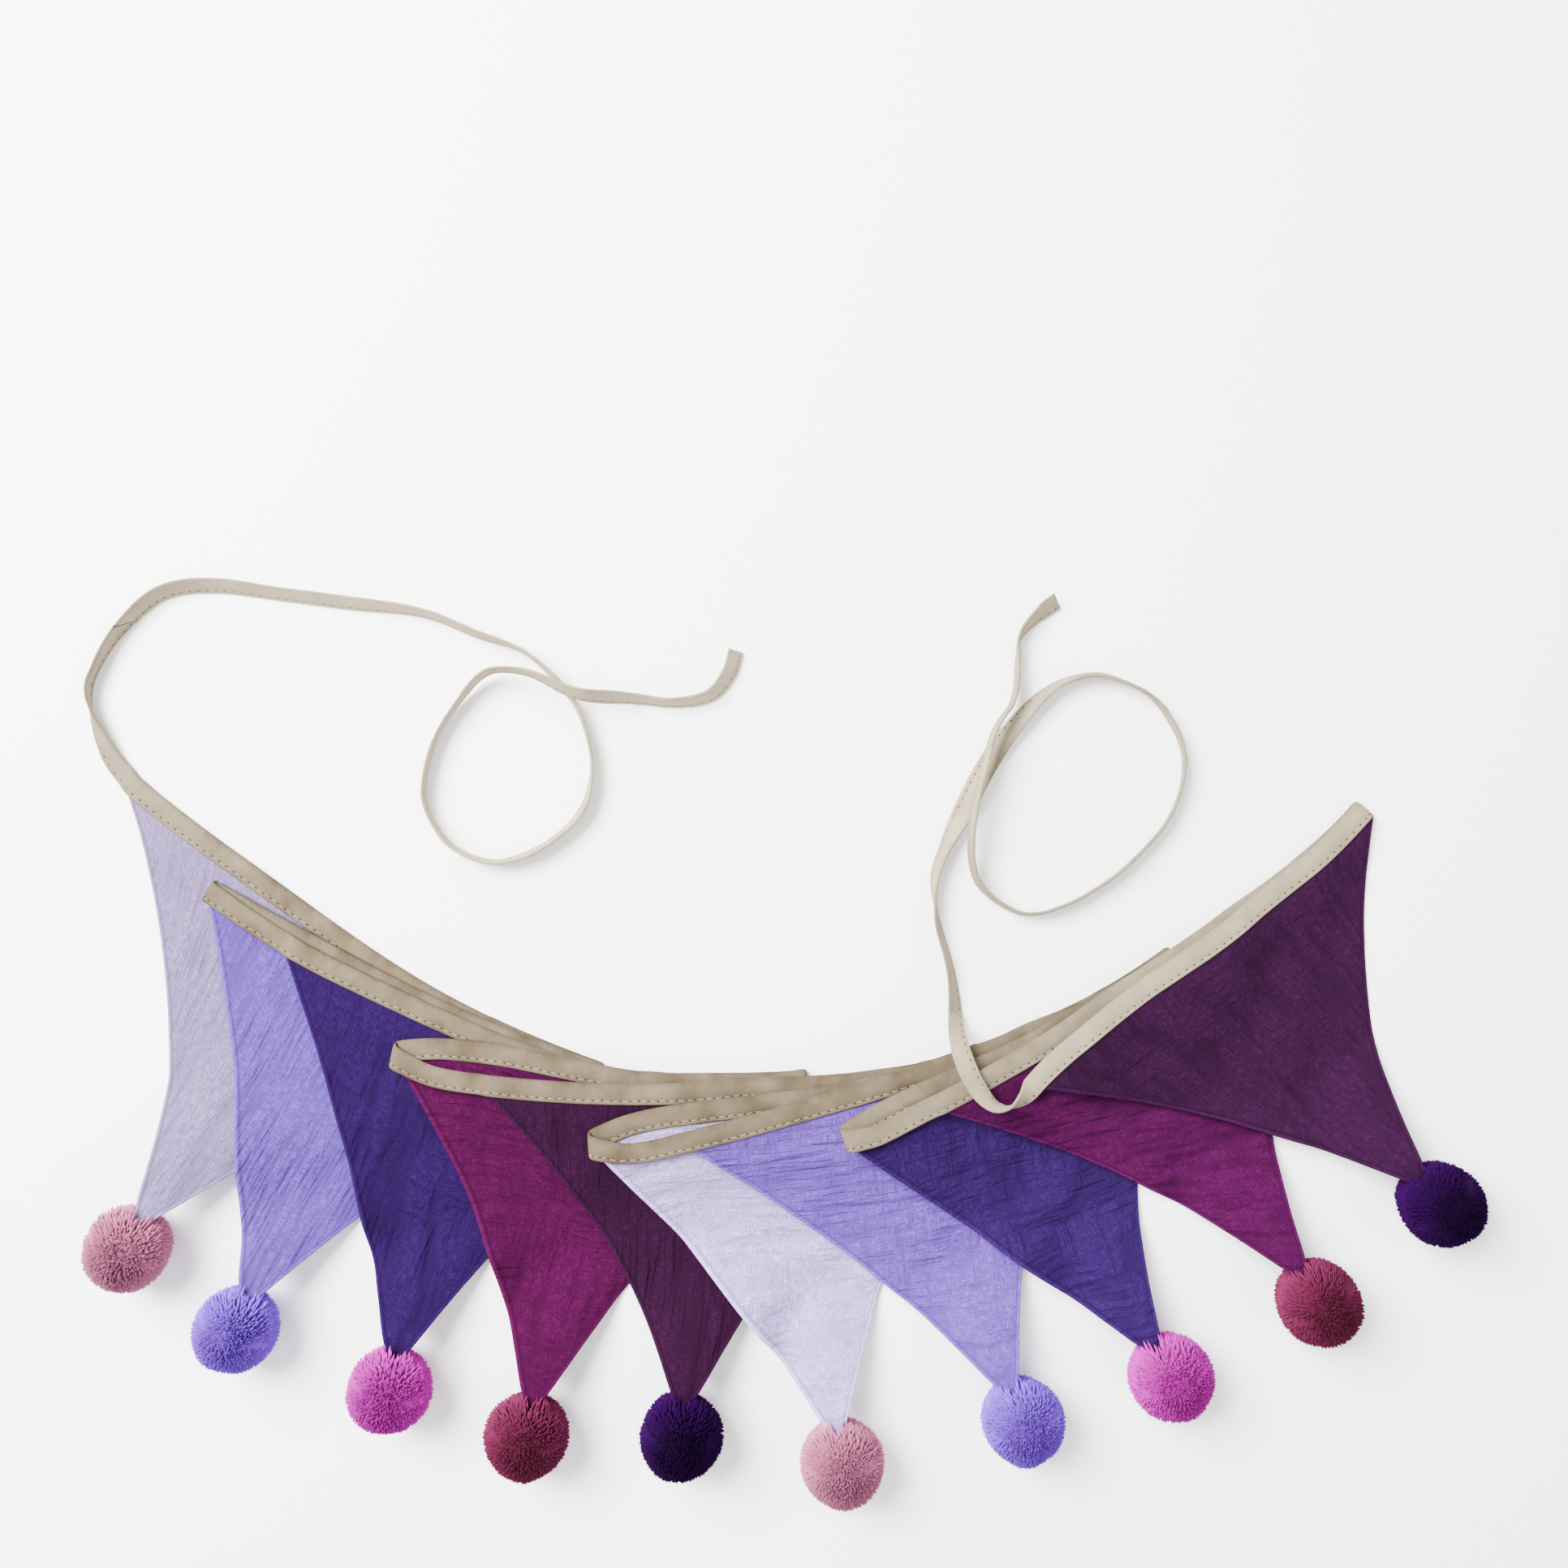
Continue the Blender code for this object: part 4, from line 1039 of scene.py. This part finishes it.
class Finish:
    """A material in the making, with a short call for each kind of node."""

    def __init__(self, name):
        self.material = bpy.data.materials.new(name)
        self.material.use_nodes = True
        self.tree = self.material.node_tree

    def fill(self, node, inputs):
        """Set a node's inputs, each to a number or a colour, or from another node's output."""
        for key, value in inputs.items():
            if isinstance(value, bpy.types.NodeSocket):
                self.tree.links.new(value, node.inputs[key])
            else:
                node.inputs[key].default_value = value

    def node(self, kind, inputs=None, **settings):
        made = self.tree.nodes.new("ShaderNode" + kind)
        for key, value in settings.items():
            setattr(made, key, value)
        self.fill(made, inputs or {})
        return made

    def surface(self, inputs):
        """Fill the shader's inputs, which ends the material."""
        self.fill(self.tree.nodes["Principled BSDF"], inputs)
        return self.material

    def mix(self, factor, one, two):
        return self.node("Mix", {0: factor, 6: one, 7: two}, data_type="RGBA").outputs[2]

    def ranged(self, source, low, high, to_low, to_high):
        made = self.node("MapRange", {0: source, 1: low, 2: high, 3: to_low, 4: to_high})
        return made.outputs["Result"]

    def maths(self, operation, one, two=0.0, **settings):
        return self.node("Math", {0: one, 1: two}, operation=operation, **settings).outputs[0]

    def vector(self, operation, one, two=(0.0, 0.0, 0.0)):
        return self.node("VectorMath", {0: one, 1: two}, operation=operation).outputs

    def apart(self, value, middle):
        """How far a value is from a middle one."""
        return self.maths("ABSOLUTE", self.maths("SUBTRACT", value, middle))

    def noise(self, vector, scale, detail, seed=None, distortion=0.0):
        """Noise from 0 to 1; a seed gives it a pattern of its own."""
        inputs = {"Vector": vector, "Scale": scale, "Detail": detail, "Distortion": distortion}
        if seed is None:
            return self.node("TexNoise", inputs).outputs["Fac"]
        inputs["W"] = seed
        return self.node("TexNoise", inputs, noise_dimensions="4D").outputs["Fac"]

    def mapped(self, vector, turn=0.0, scale=(1.0, 1.0, 1.0)):
        inputs = {"Vector": vector, "Rotation": (0.0, 0.0, math.radians(turn)), "Scale": scale}
        return self.node("Mapping", inputs).outputs["Vector"]

    def scaled(self, vector, turn, along, across):
        """The cloth's coordinates turned by an angle and then scaled along and across it."""
        return self.mapped(self.mapped(vector, -turn), scale=(along, across, 1.0))

    def weave(self, per_metre, turn):
        """Two crossing sets of threads from 0 to 1, the coordinates along them, and the UV map."""
        uv = self.node("UVMap", uv_map="cloth").outputs["UV"]
        turned = self.mapped(uv, turn)
        inputs = {"Vector": turned, "Scale": per_metre, **THREAD_UNEVENNESS}
        heights = [
            self.node("TexWave", inputs, wave_type="BANDS", bands_direction=way).outputs["Fac"]
            for way in ("X", "Y")
        ]
        return self.maths("MULTIPLY", *heights), turned, uv

    def creases(self, vector, turn, gap, strength, seed, patchy):
        """Fine uneven creases along a direction, in patches: as strong as given, 0 beside them."""
        value = self.noise(self.scaled(vector, turn, 34.0, 1000.0 / gap), 1.0, 2.0, seed, 0.35)
        return self.maths("MULTIPLY", self.ranged(value, 0.30, 0.56, strength, 0.0), patchy)

    def attribute(self, name):
        return self.node("Attribute", attribute_name=name).outputs["Fac"]

    def bump(self, height, distance, strength, before=None):
        inputs = {"Height": height, "Distance": distance, "Strength": strength}
        if before is not None:
            inputs["Normal"] = before
        return self.node("Bump", inputs).outputs["Normal"]


def gauze(name, colour, flag, seed):
    """Crinkled double gauze: open weave, mottled dye, thin creases with painted shade along them, painted
    shade in the crinkles' hollows, and turned seams.
    """
    cloth = Finish(name)
    base = linear(colour)
    threads, vector, uv = cloth.weave(*GAUZE_WEAVE)
    mottle = cloth.noise(vector, 34.0, 5.0, seed)
    slub = cloth.noise(cloth.scaled(vector, 0.0, 240.0, 1500.0), 1.0, 2.0, seed)
    cross = cloth.noise(cloth.scaled(vector, 90.0, 240.0, 1500.0), 1.0, 2.0, seed)
    slubs = cloth.maths("ADD", slub, cross)
    patches = cloth.noise(vector, 26.0, 2.0, seed + 1.0)
    some = cloth.ranged(patches, 0.35, 0.60, 0.3, 1.0)
    main = cloth.creases(vector, 90.0 + flag.lean, 0.55 * flag.warp_gap, flag.warp, seed + 2.0, some)
    rest = cloth.ranged(patches, 0.40, 0.65, 1.0, 0.3)
    second = cloth.creases(vector, flag.lean, 0.55 * flag.weft_gap, 1.4 * flag.weft, seed + 3.0, rest)
    creases = cloth.maths("MAXIMUM", main, second)

    # From the dye to the threads, the holes between them, painted shade along the creases and in the
    # crinkles' hollows, and the seams
    tone = cloth.mix(cloth.ranged(mottle, 0.36, 0.66, 0.0, 1.0), shade(base, 0.88), shade(base, 1.12))
    tone = cloth.mix(cloth.ranged(slubs, 0.82, 1.12, 0.0, 1.0), shade(base, 0.58), tone)
    tone = cloth.mix(cloth.ranged(threads, 0.0, 0.40, 0.75, 0.0), tone, shade(base, 0.45))
    tone = cloth.mix(cloth.ranged(slubs, 1.06, 1.24, 0.0, 0.5), tone, shade(base, 1.35))
    # Painted shade along the creases
    tone = cloth.mix(cloth.maths("MULTIPLY", creases, 0.72), tone, shade(base, 0.36))
    # Painted shade in the crinkles' hollows, darker where the cloth's relief dips
    painted_trough_shade = cloth.ranged(cloth.attribute("relief"), -0.50, 0.10, 0.80, 0.0)
    tone = cloth.mix(painted_trough_shade, tone, shade(base, 0.5))
    distance = cloth.attribute("seam_distance")
    tone = cloth.mix(cloth.ranged(distance, 0.7, 1.6, 0.30, 0.0), tone, shade(base, 1.5))
    seam = cloth.ranged(cloth.apart(distance, 2.1), 0.15, 0.8, 0.85, 0.0)
    tone = cloth.mix(seam, tone, shade(base, 0.42))
    normal = cloth.bump(cloth.maths("SUBTRACT", 1.0, creases), 0.0008, 0.8)
    return cloth.surface({
        "Base Color": tone,
        "Roughness": 0.93,
        "Specular IOR Level": 0.03,
        "Sheen Weight": 0.05,
        "Sheen Roughness": 0.6,
        "Sheen Tint": base,
        "Normal": cloth.bump(slubs, 0.0006, 0.8, normal),
    })


def binding_cotton(name):
    """Plain cotton tape: fine weave, pressed folds, uneven undyed colour, and painted shade along its
    length, at its edges and in its seam's groove.
    """
    cloth = Finish(name)
    light = linear(TAPE_COLOUR)
    dark = linear(TAPE_SHADE)
    threads, vector, uv = cloth.weave(*TAPE_WEAVE)
    cloud = cloth.noise(vector, 60.0, 4.0)
    parts = cloth.node("SeparateXYZ", {"Vector": uv}).outputs
    along = parts["X"]
    across = parts["Y"]

    # Painted shade, darker where the flags hang and the runs lie stacked, and paler again towards the
    # right tie; the clouds are uneven colour
    stacked_run_shade = cloth.ranged(along, 0.45, 0.75, 0.0, 0.85)
    shade_fading_right = cloth.ranged(along, 2.52, 3.20, 0.0, 0.62)
    clouded = cloth.ranged(cloud, 0.30, 0.70, -0.06, 0.16)
    share = cloth.maths("ADD", cloth.maths("SUBTRACT", stacked_run_shade, shade_fading_right), clouded, use_clamp=True)
    thinner = cloth.mix(share, shade(light, 0.80), shade(dark, 0.80))
    # Darker colour for the real flecks, and painted shade for the edges and the seam's groove
    fleck_and_edge_shade = cloth.mix(share, shade(light, 0.60), shade(dark, 0.50))
    tone = cloth.mix(cloth.ranged(threads, 0.0, 0.8, 0.0, 1.0), thinner, cloth.mix(share, light, dark))
    flecks = cloth.noise(vector, 900.0, 2.0)
    tone = cloth.mix(cloth.ranged(flecks, 0.62, 0.80, 0.0, 0.4), tone, fleck_and_edge_shade)

    # Painted shade at the folded edge, broken by ribs, along its rim and the hem where the layers meet,
    # and in the seam's groove; the slanting join's dark line
    ribs = cloth.noise(cloth.scaled(uv, 0.0, 700.0, 110.0), 1.0, 2.0, 0.0)
    fold_edge_shade = cloth.ranged(across, -0.0050, -0.0022, 0.85, 0.0)
    ribbed_fold_shade = cloth.maths("MULTIPLY", fold_edge_shade, cloth.ranged(ribs, 0.40, 0.62, 1.0, 0.25))
    tone = cloth.mix(ribbed_fold_shade, tone, fleck_and_edge_shade)
    # Painted shade along the folded rim and the hem
    tone = cloth.mix(cloth.ranged(across, -0.0050, -0.0040, 0.85, 0.0), tone, fleck_and_edge_shade)
    tone = cloth.mix(cloth.ranged(across, 0.0038, 0.0049, 0.0, 0.55), tone, fleck_and_edge_shade)
    # Painted shade in the seam's groove
    off_seam = cloth.apart(across, STITCH_AT * TAPE_WIDTH / 2 * MM)
    tone = cloth.mix(cloth.ranged(off_seam, 0.0001, 0.0007, 0.6, 0.0), tone, fleck_and_edge_shade)
    slant = cloth.maths("ADD", along, cloth.maths("MULTIPLY", across, 0.8))
    join = cloth.ranged(cloth.apart(slant, BIAS_JOIN_AT), 0.00025, 0.0006, 0.9, 0.0)
    tone = cloth.mix(join, tone, shade(dark, 0.25))
    return cloth.surface({
        "Base Color": tone,
        "Roughness": 0.84,
        "Specular IOR Level": 0.08,
        "Normal": cloth.bump(threads, 0.00015, 0.4, cloth.bump(cloud, 0.0004, 0.35)),
    })


def yarn(name, colour, centre):
    """Fuzzy yarn ends, speckled: painted shade deep between them, paler at their outer ends, and a
    painted sheen paler round the sides.
    """
    cloth = Finish(name)
    base = linear(colour)
    where = cloth.node("NewGeometry").outputs["Position"]
    middle = tuple((centre + ORIGIN) * MM)
    away = cloth.vector("DISTANCE", where, middle)["Value"]
    outward = cloth.vector("SUBTRACT", where, middle)["Vector"]
    way = cloth.vector("NORMALIZE", outward)["Vector"]
    grain = cloth.noise(way, 34.0, 3.0)
    speck = cloth.ranged(grain, 0.38, 0.64, 0.0, 1.0)
    # Painted shade deep between the yarn ends, lighter towards their outer ends
    painted_depth_shade = cloth.mix(cloth.ranged(away, 0.0170, 0.0193, 0.0, 1.0), shade(base, 0.66), shade(base, 1.08))
    tone = cloth.mix(speck, shade(base, 0.45), shade(base, 1.35))
    tone = cloth.mix(cloth.maths("MULTIPLY", speck, 0.3), tone, painted_depth_shade)
    height = cloth.node("SeparateXYZ", {"Vector": way}).outputs["Z"]
    # Painted sheen: paler round the sides, where the ball turns away from straight up
    painted_rim_sheen = shade((0.002 + base[0], 1.06 * base[1], 0.004 + base[2]), 3.3)
    return cloth.surface({
        "Base Color": cloth.mix(cloth.ranged(height, 0.10, 0.92, 0.90, 0.0), tone, painted_rim_sheen),
        "Roughness": 0.95,
        "Specular IOR Level": 0.03,
        "Sheen Weight": 0.4,
        "Sheen Roughness": 0.35,
        "Sheen Tint": base,
        "Normal": cloth.bump(grain, 0.0006, 0.8),
    })


def thread(name, colour, roughness):
    """Sewing thread, or the painted shade in a needle hole."""
    cloth = Finish(name)
    base = linear(colour)
    grain = cloth.noise(cloth.node("NewGeometry").outputs["Position"], 1400.0, 2.0)
    tone = cloth.mix(grain, shade(base, 0.82), shade(base, 1.1))
    return cloth.surface({"Base Color": tone, "Roughness": roughness})


tape.data.materials.append(binding_cotton("binding_cotton"))
stitches.data.materials.append(thread("stitch_thread", STITCH_COLOUR, 0.7))
# The needle holes are lenses of painted shade
stitches.data.materials.append(thread("needle_hole_shade", HOLE_SHADE_COLOUR, 1.0))
for polygon in stitches.data.polygons:
    polygon.material_index = int(len(polygon.vertices) == 3)

for number in range(len(FLAGS)):
    label = f"{number + 1:02d}"
    piece, sheet, area, length = flag_piece(number)
    piece.data.materials.append(
        gauze(f"double_gauze_{label}", FLAG_COLOURS[number], FLAGS[number], number * 3.0)
    )
    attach(piece, "root")
    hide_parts(f"flag_{label}")
    centre = np.array((*FLAGS[number].pompom, POMPOM_HEIGHT))
    close = sheet[np.linalg.norm(sheet - centre, axis=1) < POMPOM_RADIUS + 4.0]
    yarn_ball = pompom_piece(number, centre, close)
    middle_ball = core_piece(number, centre, close)
    finish = yarn(f"yarn_{label}", POMPOM_COLOURS[number % len(POMPOM_COLOURS)], centre)
    for ball in (yarn_ball, middle_ball):
        ball.data.materials.append(finish)
        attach(ball, "root")
    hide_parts(f"pompom_{label}")

# The floor and the light
corners = [(x * FLOOR_HALF, y * FLOOR_HALF, FLOOR_LEVEL) for x, y in ((-1, -1), (1, -1), (1, 1), (-1, 1))]
floor = mesh_object("floor", corners, [(0, 1, 2, 3)])
paper = {"Base Color": (0.99, 0.99, 0.99, 1.0), "Roughness": 0.9, "Specular IOR Level": 0.1}
floor.data.materials.append(Finish("paper_floor").surface(paper))

world = bpy.data.worlds.new("studio")
world.use_nodes = True
world.node_tree.nodes["Background"].inputs["Color"].default_value = (1.0, 1.0, 1.0, 1.0)
world.node_tree.nodes["Background"].inputs["Strength"].default_value = 1.75
bpy.context.scene.world = world


def area_light(name, place, power, size):
    """A soft square light that faces the middle of the part."""
    data = bpy.data.lights.new(name, "AREA")
    data.energy = power
    data.size = size
    lamp = bpy.data.objects.new(name, data)
    lamp.location = place
    lamp.rotation_euler = (-Vector(place)).to_track_quat("-Z", "Y").to_euler()
    bpy.context.scene.collection.objects.link(lamp)


area_light("key", (-0.8, 0.7, 1.15), 175.0, 0.9)
area_light("fill", (1.4, -0.6, 1.6), 14.0, 1.6)
